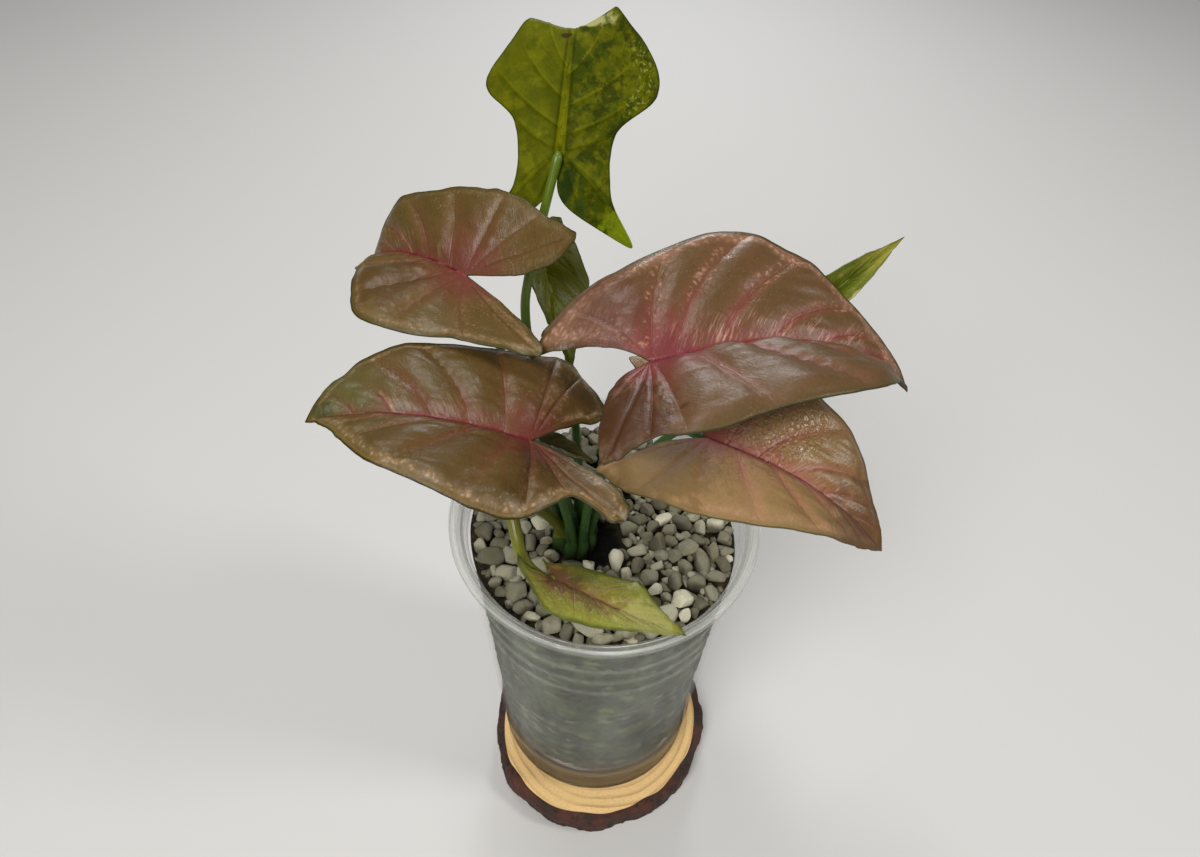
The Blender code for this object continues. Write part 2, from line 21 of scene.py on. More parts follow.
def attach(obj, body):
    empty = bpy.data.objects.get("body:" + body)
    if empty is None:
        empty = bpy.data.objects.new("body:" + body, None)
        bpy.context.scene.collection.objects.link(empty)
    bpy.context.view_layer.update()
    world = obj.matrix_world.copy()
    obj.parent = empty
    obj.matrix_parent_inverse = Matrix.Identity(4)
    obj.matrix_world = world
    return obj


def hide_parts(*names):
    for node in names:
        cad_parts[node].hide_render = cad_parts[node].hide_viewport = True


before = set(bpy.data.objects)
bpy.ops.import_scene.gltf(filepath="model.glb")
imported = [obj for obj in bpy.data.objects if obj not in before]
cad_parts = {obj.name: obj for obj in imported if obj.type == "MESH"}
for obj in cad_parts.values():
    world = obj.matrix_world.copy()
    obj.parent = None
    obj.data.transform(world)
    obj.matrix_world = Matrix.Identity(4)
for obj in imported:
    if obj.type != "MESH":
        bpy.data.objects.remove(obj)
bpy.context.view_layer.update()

LOG = logging.getLogger("arrowhead_plant")
MM = 0.001
POT_FOOT = 10.3          # height of the cup's foot above the floor
CROWN_CENTRE = (-9.0, -6.0)
CROWN_TOP = 141.0
SURFACE_SLOPE = 0.075    # the planted surface falls towards +X
HOLLOW = (-3.0, -5.5, 8.5)   # bare soil beside the crown: place and radius
MIX_INPUTS = (0, 6, 7)       # a Mix node's factor and its two colours
MIX_OUTPUT = 2               # its mixed colour
WAVES = 4.2                  # waves along the edge of half a blade
WAVE_STARTS = {-1: 0.2, 1: 1.3}
KEEL_REACH = 4.0             # mm from the midrib that its keel is steered
STALK_SIDES = 20
MEASURES = ("along", "rib", "edge", "joint", "phase", "gap")   # what a blade's mesh holds at each point


def srgb(red: float, green: float, blue: float) -> tuple[float, float, float, float]:
    """Turn a display colour into linear light.

    Args:
        red: Red, 0 to 255.
        green: Green, 0 to 255.
        blue: Blue, 0 to 255.

    Returns:
        Linear red, green and blue, and a full alpha.
    """
    shares = [channel / 255 for channel in (red, green, blue)]
    linear = [s / 12.92 if s <= 0.04045 else ((s + 0.055) / 1.055) ** 2.4 for s in shares]
    return (linear[0], linear[1], linear[2], 1.0)


def smoothstep(value: float, low: float, high: float) -> float:
    """Rise smoothly from 0 at low to 1 at high."""
    share = min(max((value - low) / (high - low), 0.0), 1.0)
    return share * share * (3 - 2 * share)


# Shader maths


class Signal:
    """An output of a node. Python's operators on it add Math nodes."""

    def __init__(self, kit: "Shader", socket: NodeSocket) -> None:
        """Keep the material's kit and the socket."""
        self.kit = kit
        self.socket = socket

    def _math(self, operation: str, *values: object) -> "Signal":
        """Add a Math node over the given values."""
        return self.kit.node("ShaderNodeMath", {"operation": operation}, dict(enumerate(values)))

    def __add__(self, other: object) -> "Signal":
        """Return self + other."""
        return self._math("ADD", self, other)

    def __radd__(self, other: object) -> "Signal":
        """Return other + self."""
        return self._math("ADD", other, self)

    def __sub__(self, other: object) -> "Signal":
        """Return self - other."""
        return self._math("SUBTRACT", self, other)

    def __rsub__(self, other: object) -> "Signal":
        """Return other - self."""
        return self._math("SUBTRACT", other, self)

    def __mul__(self, other: object) -> "Signal":
        """Return self * other."""
        return self._math("MULTIPLY", self, other)

    def __rmul__(self, other: object) -> "Signal":
        """Return other * self."""
        return self._math("MULTIPLY", other, self)

    def __truediv__(self, other: object) -> "Signal":
        """Return self / other."""
        return self._math("DIVIDE", self, other)

    def __rtruediv__(self, other: object) -> "Signal":
        """Return other / self."""
        return self._math("DIVIDE", other, self)

    def __abs__(self) -> "Signal":
        """Return the size of self without its sign."""
        return self._math("ABSOLUTE", self)

    def fraction(self) -> "Signal":
        """Return what is left after the whole part."""
        return self._math("FRACT", self)

    def sine(self) -> "Signal":
        """Return the sine of self in radians."""
        return self._math("SINE", self)

    def at_least(self, other: object) -> "Signal":
        """Return the larger of self and other."""
        return self._math("MAXIMUM", self, other)

    def at_most(self, other: object) -> "Signal":
        """Return the smaller of self and other."""
        return self._math("MINIMUM", self, other)

    def _step(self, low: float, high: float, before: float, after: float) -> "Signal":
        """Step smoothly from one value at low to another at high."""
        sockets = {"Value": self, "From Min": low, "From Max": high, "To Min": before, "To Max": after}
        return self.kit.node("ShaderNodeMapRange", {"interpolation_type": "SMOOTHSTEP"}, sockets)

    def rise(self, low: float, high: float) -> "Signal":
        """Return a smooth step from 0 at low to 1 at high."""
        return self._step(low, high, 0.0, 1.0)

    def fall(self, low: float, high: float) -> "Signal":
        """Return a smooth step from 1 at low to 0 at high."""
        return self._step(low, high, 1.0, 0.0)


class Shader:
    """The nodes of one material."""

    def __init__(self, name: str) -> None:
        """Start a material with a Principled surface.

        Args:
            name: The material's name.
        """
        self.material = bpy.data.materials.new(name)
        self.material.use_nodes = True
        self.tree = self.material.node_tree
        self.surface = self.tree.nodes["Principled BSDF"]

    def feed(self, socket: NodeSocket, value: object) -> None:
        """Link a signal to a socket, or set the socket to a constant.

        Args:
            socket: The input.
            value: A signal, a number or a tuple.
        """
        if isinstance(value, Signal):
            self.tree.links.new(value.socket, socket)
        else:
            socket.default_value = value

    def node(self, kind: str, settings: dict[str, object], values: dict[object, object],
             out: int = 0) -> Signal:
        """Add any node.

        Args:
            kind: Blender's type name of the node.
            settings: Its own options, set before its sockets.
            values: A number, tuple or signal for each socket, by the socket's name or number.
            out: Number of the output to return.

        Returns:
            The chosen output.
        """
        made = self.tree.nodes.new(kind)
        for key, value in settings.items():
            setattr(made, key, value)
        for key, value in values.items():
            self.feed(made.inputs[key], value)
        return Signal(self, made.outputs[out])

    def mix(self, factor: object, first: object, second: object, blend: str = "MIX") -> Signal:
        """Mix two colours.

        Args:
            factor: 0 for the first colour, 1 for the second.
            first: A signal, a display colour of three numbers, or a linear one of four.
            second: The same.
            blend: Blender's name of the way of mixing.

        Returns:
            The mixed colour.
        """
        colours = [srgb(*c) if isinstance(c, tuple) and len(c) == 3 else c for c in (first, second)]
        return self.node("ShaderNodeMix", {"data_type": "RGBA", "blend_type": blend},
                         dict(zip(MIX_INPUTS, (factor, *colours))), MIX_OUTPUT)

    def attribute(self, name: str) -> Signal:
        """Read a number that the mesh holds at each point."""
        return self.node("ShaderNodeAttribute", {"attribute_name": name}, {}, 2)

    def direction(self, name: str) -> Signal:
        """Read a vector that the mesh holds at each point."""
        return self.node("ShaderNodeAttribute", {"attribute_name": name}, {}, 1)

    def place(self) -> Signal:
        """Read the point's place in the object, in metres."""
        return self.node("ShaderNodeTexCoord", {}, {}, 3)

    def stretched(self, vector: Signal, scale: tuple[float, float, float],
                  shift: tuple[float, float, float] = (0.0, 0.0, 0.0)) -> Signal:
        """Scale a vector along its axes, then shift it."""
        return self.node("ShaderNodeVectorMath", {"operation": "MULTIPLY_ADD"},
                         {0: vector, 1: scale, 2: shift})

    def pack(self, first: object, second: object, third: object = 0.0) -> Signal:
        """Join three numbers to a vector."""
        return self.node("ShaderNodeCombineXYZ", {}, {0: first, 1: second, 2: third})

    def split(self, vector: Signal, axis: int) -> Signal:
        """Return one number of a vector."""
        return self.node("ShaderNodeSeparateXYZ", {}, {0: vector}, axis)

    def length(self, vector: Signal) -> Signal:
        """Return the length of a vector."""
        return self.node("ShaderNodeVectorMath", {"operation": "LENGTH"}, {0: vector}, 1)

    def bent(self, vector: Signal, scale: float, reach: float) -> Signal:
        """Shift a vector by noise, so that patterns on it lose their even outlines.

        Args:
            vector: The vector.
            scale: How fine the noise is.
            reach: How far the noise shifts it, in the vector's own unit.

        Returns:
            The shifted vector.
        """
        shift = self.node("ShaderNodeTexNoise", {}, {"Vector": vector, "Scale": scale, "Detail": 2.0}, 1)
        return self.node("ShaderNodeVectorMath", {"operation": "MULTIPLY_ADD"},
                         {0: shift, 1: (reach, reach, reach), 2: vector})

    def clouds(self, vector: Signal, scale: float, detail: float = 2.0, rough: float = 0.5,
               twist: float = 0.0) -> Signal:
        """Return soft noise of 0 to 1."""
        return self.node("ShaderNodeTexNoise", {}, {"Vector": vector, "Scale": scale, "Detail": detail,
                                                    "Roughness": rough, "Distortion": twist})

    def cells(self, vector: Signal, scale: float, feature: str = "F1", out: int = 0) -> Signal:
        """Return a cell pattern's distance, or its cell colour with out 1."""
        return self.node("ShaderNodeTexVoronoi", {"feature": feature}, {"Vector": vector, "Scale": scale},
                         out)

    def finish(self, colour: Signal, roughness: object, height: Signal | None = None,
               depth: float = 0.0003, strength: float = 0.5, alpha: Signal | None = None,
               **constants: object) -> Material:
        """Connect the surface.

        Args:
            colour: Base colour.
            roughness: A number or a signal.
            height: Relief of 0 to 1 for a bump, if any.
            depth: Depth of that relief in metres.
            strength: How much of the relief shows.
            alpha: Cover of a see-through surface, if any.
            constants: Values of other sockets, by name with _ for a space.

        Returns:
            The finished material.
        """
        self.feed(self.surface.inputs["Base Color"], colour)
        self.feed(self.surface.inputs["Roughness"], roughness)
        if height is not None:
            relief = {"Strength": strength, "Distance": depth, "Height": height}
            self.feed(self.surface.inputs["Normal"], self.node("ShaderNodeBump", {}, relief))
        if alpha is not None:
            self.feed(self.surface.inputs["Alpha"], alpha)
        for key, value in constants.items():
            self.surface.inputs[key.replace("_", " ")].default_value = value
        return self.material


# Finishes


@dataclass(frozen=True)
class Mark:
    """A blot at a place of its own in the flat blade."""

    spot: tuple
    size: tuple
    colour: tuple
    strength: float = 0.8
    turn: float = 0.0

    def cover(self, kit: Shader, cloud: Signal) -> Signal:
        """Work out where the blot is.

        Args:
            kit: The material's kit.
            cloud: Noise that makes its outline uneven.

        Returns:
            How strongly it covers each point.
        """
        spot = kit.node("ShaderNodeMapping", {"vector_type": "TEXTURE"}, {
            "Vector": kit.direction("flat"), "Location": (*self.spot, 0.0),
            "Rotation": (0.0, 0.0, math.radians(self.turn)), "Scale": (*self.size, 1.0)})
        return (kit.length(spot) + (cloud - 0.5) * 2.2).fall(0.55, 1.10) * self.strength


@dataclass(frozen=True)
class BladeSignals:
    """What a leaf's finish reads at each point of its blade."""

    kit: Shader
    flat: Signal  # place in the flat blade in mm, shifted by the finish's seed
    across: Signal  # mm from the midrib, negative on the left half
    along: Signal  # share of the length in front of the joint
    rib: Signal  # mm from the midrib
    edge: Signal  # mm from the edge
    joint: Signal  # mm from the joint
    phase: Signal  # whole at each side vein
    under: Signal  # 1 on the underside
    beside: Signal  # mm from the nearest side vein, with a sign
    near: Signal  # the same without its sign
    side: Signal  # 0 on the left half, 1 on the right
    reach: Signal  # 0 at the midrib, 1 at the edge
    sweep: Signal  # mm in the direction that the side veins run across
    broad: Signal  # soft noise of three sizes
    medium: Signal
    fine: Signal

    @classmethod
    def read(cls, kit: Shader, seed: float) -> "BladeSignals":
        """Make the signals of one blade.

        Args:
            kit: The material's kit.
            seed: Shift of the noise, so that each leaf has its own.

        Returns:
            The signals.
        """
        place = kit.direction("flat")
        flat = kit.stretched(place, (1.0, 1.0, 1.0), (seed, seed * 0.7, 0.0))
        across = kit.split(place, 0)
        along, rib, edge, joint, phase, gap = (kit.attribute(name) for name in MEASURES)
        beside = ((phase + 0.5).fraction() - 0.5) * gap
        return cls(kit=kit, flat=flat, across=across, along=along, rib=rib, edge=edge, joint=joint,
                   phase=phase, under=kit.attribute("under"), beside=beside, near=abs(beside),
                   side=across.rise(-0.4, 0.4), reach=rib / (rib + edge + 0.5),
                   sweep=kit.split(place, 1) - abs(across) * 0.75, broad=kit.clouds(flat, 0.07, 2.0),
                   medium=kit.clouds(flat, 0.30, 3.0, 0.6), fine=kit.clouds(flat, 1.5, 4.0, 0.6))


@dataclass(frozen=True)
class LeafFinish:
    """Colour of one blade, from the midrib out to the margin."""

    name: str
    body: tuple = (142, 106, 74)  # bronze between the veins
    patch: tuple = (116, 98, 56)  # the greener patches of it
    outer: tuple = (112, 98, 54)  # the last few mm before the edge
    blush: tuple = (162, 76, 88)  # rose that spreads from the joint and the veins
    line: tuple = (118, 38, 58)  # the midrib and the veins near it
    speck: tuple = (196, 142, 116)  # pale blots inside the margin
    painted_highlight_and_streak: tuple = (206, 176, 160)  # painted highlight as a pale line beside a vein; also the colour of the pale streaks beside the midrib
    margin: tuple = (70, 70, 26)  # thin line round the edge
    tip: tuple = (118, 122, 52)  # colour that the tip fades to
    under: tuple = (136, 112, 82)  # underside
    under_vein: tuple = (150, 130, 90)
    patchiness: float = 0.75
    blush_reach: float = 17.0  # mm from the joint
    blush_strength: float = 0.75
    rib_blush: float = 0.7
    vein_blush: float = 0.45
    speckle: tuple = (0.8, 0.8)  # left and right half
    vein_speckle: float = 0.3
    band: float = 3.0  # mm from the edge that the blots reach
    freckle: float = 0.25
    feathering: tuple = (0.3, 0.3)  # pale streaks beside the midrib, left and right
    net: float = 0.25  # fine branching veins
    # strength of the painted highlight lines beside the veins
    painted_highlight_lines: float = 0.3
    green_tip: float = 0.2
    tip_from: float = 0.55
    blots: float = 0.0  # dark green blots
    pale_side: float = 0.0  # pale flecks on the left half's underside
    tone: tuple = (1.0, 1.0, 1.0)  # share of red, green and blue that the blade keeps
    gloss: float = 0.37
    shine: float = 0.30
    hem: float = 0.0  # tan fold inside the left half's edge
    hem_colour: tuple = (206, 166, 122)
    matt_right: float = 0.0  # extra roughness of the right half
    edging: float = 0.5  # mm that the dark edge is wide
    marks: tuple = ()
    crease: Mark | None = None  # fine wrinkles; the colour has no use there
    seed: float = 0.0

    def material(self) -> Material:
        """Dress both sides of the blade.

        Returns:
            The blade's material.
        """
        kit = Shader(self.name)
        at = BladeSignals.read(kit, self.seed)
        colour = self._mottling(at, self._rose(at, self._ground(at)))
        colour = kit.mix(at.fine.rise(0.35, 0.65) * 0.22, colour, self.patch, "SOFT_LIGHT")
        outline = (at.edge + (at.medium - 0.5) * self.edging).fall(0.12, self.edging)
        colour = kit.mix(outline * 0.85, colour, self.margin)
        colour = kit.mix(at.under, colour, self._underside(at))
        colour = kit.mix(1.0, colour, (*self.tone, 1.0), "MULTIPLY")
        if self.pale_side:
            colour = self._pale_flecks(at, colour)
        for mark in self.marks:
            colour = kit.mix(mark.cover(kit, at.medium), colour, mark.colour)
        height, roughness = self._surface(at)
        return kit.finish(colour, roughness, height, 0.0004, 0.6, Specular_IOR_Level=self.shine)

    def _ground(self, at: BladeSignals) -> Signal:
        """Colour the bronze, greener at the middle of each bulge, at the tip and near the edge.

        Args:
            at: The blade's signals.

        Returns:
            The colour.
        """
        mixed = (at.broad * 0.5 + at.medium * 0.5).rise(0.38, 0.62)
        centre = at.near.rise(0.8, 4.2) * 0.55 + mixed * 0.55
        colour = at.kit.mix(centre * self.patchiness, self.body, self.patch)
        colour = at.kit.mix((at.edge + at.medium * 3.0).fall(1.5, 5.5) * 0.55, colour, self.outer)
        tip = (at.along + at.broad * 0.4).rise(self.tip_from + 0.2, 1.15) * self.green_tip
        return at.kit.mix(tip, colour, self.tip)

    def _rose(self, at: BladeSignals, colour: Signal) -> Signal:
        """Add the rose that follows the veins, then the veins and the painted highlights as pale lines
        beside them.

        Args:
            at: The blade's signals.
            colour: The colour so far.

        Returns:
            The new colour.
        """
        kit, along, rib, reach = at.kit, at.along, at.rib, at.reach
        from_joint = (at.joint + at.medium * 8.0 - 4.0).fall(1.0, self.blush_reach)
        from_rib = (rib + at.medium * 3.0 - 1.5).fall(0.3, 5.0) * along.fall(0.20, 0.98) * self.rib_blush
        from_vein = at.near.fall(0.2, 2.4) * reach.fall(0.15, 0.85) * self.vein_blush
        blush = from_joint.at_least(from_rib).at_least(from_vein) * self.blush_strength
        colour = kit.mix(blush, colour, self.blush)
        turn = at.phase + 0.5
        vein_number = (turn - turn.fraction()) * 3.7
        luck = kit.clouds(kit.pack(vein_number, at.side * 5.0, self.seed), 1.0, 0.0).rise(0.42, 0.68)
        vein = at.near.fall(0.05, 0.32) * at.edge.rise(0.5, 3.0)
        colour = kit.mix(vein * (reach.fall(0.05, 0.60) * (luck * 0.5 + 0.15) + 0.06), colour, self.line)
        # painted highlight: a pale line on one side of each vein near the joint
        pale = at.beside.rise(0.10, 0.35) * at.beside.fall(0.4, 1.2) * reach.fall(0.12, 0.55)
        pale = pale * at.joint.rise(2.0, 6.0) * at.medium.rise(0.30, 0.60)
        colour = kit.mix(pale * luck * self.painted_highlight_lines, colour, self.painted_highlight_and_streak)
        web = kit.cells(kit.bent(at.flat, 0.4, 3.0), 0.34, "DISTANCE_TO_EDGE").fall(0.01, 0.07)
        web = web * at.joint.fall(8.0, 26.0) * at.joint.rise(2.0, 6.0)
        colour = kit.mix(web * self.net, colour, self.line)
        streak = kit.clouds(kit.pack(at.sweep, rib * 0.14, self.seed), 1.7, 3.0, 0.6)
        streaks = streak.rise(0.48, 0.66) * rib.rise(0.4, 1.4) * rib.fall(2.5, 9.0) * along.fall(0.65, 0.95)
        streaks = streaks * kit.clouds(at.flat, 0.16, 2.0).rise(0.40, 0.58)
        feather = at.side * (self.feathering[1] - self.feathering[0]) + self.feathering[0]
        colour = kit.mix(streaks * at.joint.rise(5.0, 12.0) * feather, colour, self.painted_highlight_and_streak)
        midrib = rib.fall(0.12, 0.50) * along.fall(0.50, 1.02) * 0.9
        return kit.mix(midrib, colour, self.line)

    def _mottling(self, at: BladeSignals, colour: Signal) -> Signal:
        """Add the chain of pale blots inside the margin, the blots beside veins and the freckles.

        Args:
            at: The blade's signals.
            colour: The colour so far.

        Returns:
            The new colour.
        """
        kit, edge, broad, medium, side = at.kit, at.edge, at.broad, at.medium, at.side
        loose = kit.bent(at.flat, 0.45, 2.4)
        away = at.joint.rise(7.0, 13.0)
        large = (kit.cells(loose, 0.85) + (medium - 0.5) * 0.6).fall(0.08, 0.58)
        small = kit.cells(loose, 1.15).fall(0.10, 0.36)
        band = edge.rise(0.9, 1.8) * (edge + medium * 2.4).fall(self.band, self.band * 1.6)
        band = band * broad.rise(0.12, 0.36) * away
        chain = at.near.rise(0.3, 0.8) * at.near.fall(1.2, 2.4) * at.reach.rise(0.30, 0.60)
        chain = chain * broad.rise(0.36, 0.52)
        amount = side * (self.speckle[1] - self.speckle[0]) + self.speckle[0]
        speck = (band * (large * 0.7 + 0.3) * amount).at_least(chain * large * amount * self.vein_speckle)
        dots = small * (broad * 0.5 + medium * 0.5).rise(0.48, 0.62) * away * self.freckle
        colour = kit.mix(speck.at_least(dots), colour, self.speck)
        if self.hem:
            fold = edge.rise(0.3, 0.7) * (edge + medium).fall(1.3, 2.0) * (1 - side)
            colour = kit.mix(fold * self.hem, colour, self.hem_colour)
        if self.blots:
            dark = kit.clouds(at.flat, 0.42, 3.0, 0.7).rise(0.55, 0.68) * broad.rise(0.42, 0.55)
            colour = kit.mix(dark * self.blots, colour, self.margin)
        return colour

    def _underside(self, at: BladeSignals) -> Signal:
        """Colour the underside, with raised veins and dark mottles on its left half.

        Args:
            at: The blade's signals.

        Returns:
            The colour.
        """
        kit, rib, edge = at.kit, at.rib, at.edge
        mottled = (at.broad * 0.4 + at.medium * 0.6).rise(0.40, 0.56)
        colour = kit.mix(mottled * (0.9 - at.side * self.pale_side * 0.7), self.under, self.patch)
        pale = kit.clouds(at.flat, 0.13, 4.0, 0.65).rise(0.52, 0.64) * 0.45
        colour = kit.mix(pale, colour, self.under_vein)
        colour = kit.mix(at.near.fall(0.10, 0.45) * edge.rise(1.0, 8.0) * 0.40, colour, self.under_vein)
        width = rib / (1.2 - at.along)
        colour = kit.mix(width.rise(0.8, 1.2) * width.fall(1.4, 2.4) * 0.5, colour, self.margin)
        colour = kit.mix(width.fall(0.8, 1.2) * at.along.fall(0.05, 0.60) * 0.7, colour, self.under_vein)
        if self.pale_side:
            dark = kit.clouds(at.flat, 0.20, 3.0, 0.65).rise(0.48, 0.60) * (at.across * -1.0).rise(0.0, 3.0)
            colour = kit.mix(dark * 0.7, colour, self.margin)
        return kit.mix(edge.fall(0.12, 0.50) * 0.6, colour, self.margin)

    def _pale_flecks(self, at: BladeSignals, colour: Signal) -> Signal:
        """Add pale flecks to the outer part of the left half's underside.

        Args:
            at: The blade's signals.
            colour: The colour so far.

        Returns:
            The new colour.
        """
        left = at.across * -1.0 + (at.medium - 0.5) * 6.0
        flecks = at.kit.clouds(at.kit.bent(at.flat, 0.6, 1.5), 1.1, 3.0, 0.6).rise(0.54, 0.62)
        band = left.rise(13.0, 18.0) * at.edge.rise(0.5, 1.5) * at.edge.fall(3.5, 7.0)
        return at.kit.mix(flecks * band * at.under * self.pale_side, colour, self.speck)

    def _surface(self, at: BladeSignals) -> tuple[Signal, Signal]:
        """Work out the fine relief and the sheen.

        Args:
            at: The blade's signals.

        Returns:
            The height for the bump, and the roughness.
        """
        kit, fine = at.kit, at.fine
        threads = kit.clouds(kit.pack(at.sweep, at.rib * 0.25, self.seed), 1.3, 3.0, 0.6)
        crinkle = kit.clouds(kit.bent(at.flat, 0.5, 1.5), 0.80, 4.0, 0.62)
        height = crinkle * 0.5 + fine * 0.2 + threads * 0.3
        height = height - at.near.fall(0.05, 0.40) * at.edge.rise(0.5, 3.0) * 0.30
        roughness = self.gloss + (fine - 0.5) * 0.20 + (at.medium - 0.5) * 0.10 + at.under * 0.14
        if self.matt_right:
            roughness = roughness + at.side * self.matt_right
        if self.crease:
            lines = kit.cells(kit.bent(at.flat, 0.6, 2.0), 0.60, "DISTANCE_TO_EDGE").rise(0.0, 0.30)
            wrinkled = self.crease.cover(kit, at.broad)
            height = height + lines * wrinkled
            roughness = roughness - wrinkled * 0.10
        return height, roughness


@dataclass(frozen=True)
class StalkFinish:
    """Smooth green stalk with fine lengthwise lines."""

    name: str = "stalk"
    low: tuple = (34, 66, 24)
    high: tuple = (58, 96, 34)
    stripe: tuple = (92, 124, 56)

    def material(self) -> Material:
        """Make the finish.

        Returns:
            The stalk's material.
        """
        kit = Shader(self.name)
        around, share = kit.attribute("around"), kit.attribute("share")
        place = kit.place()
        mottle = kit.clouds(place, 260.0, 3.0)
        colour = kit.mix(share.rise(0.0, 0.9) * 0.8 + mottle * 0.2, self.low, self.high)
        lines = (around * (2 * math.pi * 9) + mottle * 3.0).sine() * 0.5 + 0.5
        colour = kit.mix(lines * 0.22, colour, self.stripe)
        return kit.finish(colour, 0.30 + mottle * 0.16, lines * 0.6 + mottle * 0.4, 0.0001, 0.5)


@dataclass(frozen=True)
class SheathFinish:
    """Dark glossy sheaths at the crown, browner where they meet the stones."""

    name: str = "sheath"
    green: tuple = (26, 56, 20)
    pale: tuple = (66, 98, 38)
    brown: tuple = (40, 32, 20)

    def material(self) -> Material:
        """Make the finish.

        Returns:
            The crown's material.
        """
        kit = Shader(self.name)
        around, share = kit.attribute("around"), kit.attribute("share")
        mottle = kit.clouds(kit.place(), 300.0, 4.0)
        lines = (around * (2 * math.pi * 11) + mottle * 4.0).sine() * 0.5 + 0.5
        colour = kit.mix(lines * 0.35 + mottle * 0.25, self.green, self.pale)
        colour = kit.mix((share + mottle * 0.3).fall(0.35, 0.75), colour, self.brown)
        return kit.finish(colour, 0.34 + mottle * 0.2, lines * 0.5 + mottle * 0.5, 0.00015, 0.6)


@dataclass(frozen=True)
class StoneFinish:
    """Chalky volcanic stones, each with its own tint."""

    name: str = "pumice_stone"
    grey: tuple = (102, 99, 82)
    white: tuple = (226, 222, 196)
    ochre: tuple = (108, 99, 66)
    # dirt in the pits; the same colour darkens each stone's underside as painted shade
    dirt_and_shade: tuple = (46, 41, 24)

    def material(self) -> Material:
        """Make the finish.

        Returns:
            The stones' material.
        """
        kit = Shader(self.name)
        place, tint = kit.place(), kit.attribute("tint")
        grain = kit.clouds(place, 900.0, 5.0, 0.7)
        stain = kit.clouds(place, 170.0, 3.0)
        pits = kit.cells(place, 1500.0)
        colour = kit.mix(tint, self.grey, self.white)
        colour = kit.mix(stain.rise(0.52, 0.70) * 0.6, colour, self.ochre)
        colour = kit.mix(pits.fall(0.05, 0.30) * grain.rise(0.4, 0.6) * 0.55, colour, self.dirt_and_shade)
        # painted shade: each stone darkens towards its underside
        colour = kit.mix(kit.attribute("low").rise(0.2, 1.0) * 0.7, colour, self.dirt_and_shade)
        height = grain * 0.6 + pits.rise(0.0, 0.35) * 0.4
        return kit.finish(colour, 0.86 + grain * 0.1, height, 0.0004, 0.8, Specular_IOR_Level=0.25)


@dataclass(frozen=True)
class MixFinish:
    """Damp growing mix of bark, moss and stones."""

    name: str = "growing_mix_lumps"
    dark: tuple = (38, 38, 22)
    moss: tuple = (72, 78, 44)
    stone: tuple = (118, 126, 84)
    scale: float = 170.0

    def material(self) -> Material:
        """Make the finish.

        Returns:
            The mix's material.
        """
        kit = Shader(self.name)
        place = kit.bent(kit.stretched(kit.place(), (1.0, 1.0, 1.8)), 90.0, 0.004)
        soft = kit.clouds(place, 75.0, 3.0, 0.55)
        lumps = kit.cells(place, self.scale)
        kind = kit.node("ShaderNodeSeparateColor", {}, {0: kit.cells(place, self.scale, "F1", 1)})
        streak = kit.clouds(kit.stretched(kit.place(), (1.0, 1.0, 4.0)), 60.0, 4.0, 0.6)
        colour = kit.mix((soft * 0.7 + streak * 0.3).rise(0.38, 0.62), self.dark, self.moss)
        colour = kit.mix(kind.rise(0.55, 0.95) * lumps.fall(0.25, 0.7) * 0.7, colour, self.stone)
        low = kit.split(kit.place(), 2).fall(0.026, 0.060) * 0.45
        colour = kit.mix(low, colour, self.dark)
        height = (1 - lumps) * 0.6 + soft * 0.4
        return kit.finish(colour, 0.85, height, 0.0007, 0.6)


@dataclass(frozen=True)
class SoilFinish:
    """Dark crumbs between the stones."""

    name: str = "soil_crumbs"
    dark: tuple = (26, 22, 17)
    pale: tuple = (70, 60, 42)
    moss: tuple = (58, 60, 38)
    shade: tuple = (5, 6, 4)  # painted shade, near black, in the hollow beside the crown

    def material(self) -> Material:
        """Make the finish.

        Returns:
            The crumbs' material.
        """
        kit = Shader(self.name)
        place = kit.place()
        grain = kit.clouds(place, 520.0, 5.0, 0.7)
        colour = kit.mix(grain.rise(0.35, 0.7), self.dark, self.pale)
        colour = kit.mix(kit.clouds(place, 160.0, 3.0).rise(0.5, 0.7) * 0.4, colour, self.moss)
        hole = kit.stretched(place, (1.0, 1.0, 0.0), (-HOLLOW[0] * MM, -HOLLOW[1] * MM, 0.0))
        shaded = kit.length(hole).fall(HOLLOW[2] * 0.8 * MM, HOLLOW[2] * 1.3 * MM)
        colour = kit.mix(shaded * 0.95, colour, self.shade)
        return kit.finish(colour, 0.92, grain, 0.0008, 0.9, Specular_IOR_Level=0.15)


@dataclass(frozen=True)
class PlasticFinish:
    """Thin clear plastic, hazy from handling."""

    name: str = "clear_cup"
    tint: tuple = (196, 200, 192)
    smear: tuple = (216, 218, 210)
    stain: tuple = (50, 34, 14)  # painted shade under the raised floor, in the dark brown of the wood seen through the skirt
    haze: float = 0.08
    gloss: float = 0.10

    def material(self) -> Material:
        """Make the finish.

        Returns:
            The cup's material.
        """
        kit = Shader(self.name)
        # the thick value draws pale, more opaque rings on the rolled rim and the ridges: partly painted
        # highlight
        place, rim = kit.place(), kit.attribute("thick")
        smears = kit.clouds(kit.stretched(place, (1.0, 1.0, 0.35)), 60.0, 4.0, 0.6)
        scratches = kit.clouds(kit.stretched(place, (1.0, 1.0, 0.05)), 900.0, 3.0, 0.7)
        cloud = smears.rise(0.35, 0.75) * 0.08 + scratches.rise(0.55, 0.7) * 0.05
        level = kit.split(place, 2)
        wall = (cloud + self.haze) * (level.rise(0.016, 0.036) * 0.7 + 0.3)
        # below the raised floor the plastic is drawn more opaque, so that its painted shade shows
        alpha = (level.fall(0.024, 0.030) * 0.44 + wall + rim * 0.50).at_most(0.9)
        colour = kit.mix(smears, self.tint, self.smear)
        # painted shade: everything below the raised floor, foot ring included, is coloured a dark wood brown
        colour = kit.mix(level.fall(0.024, 0.032) * 0.95, colour, self.stain)
        roughness = smears * 0.10 + self.gloss
        height = smears * 0.4 + scratches * 0.2
        return kit.finish(colour, roughness, height, 0.0002, 0.10, alpha, Specular_IOR_Level=0.6)


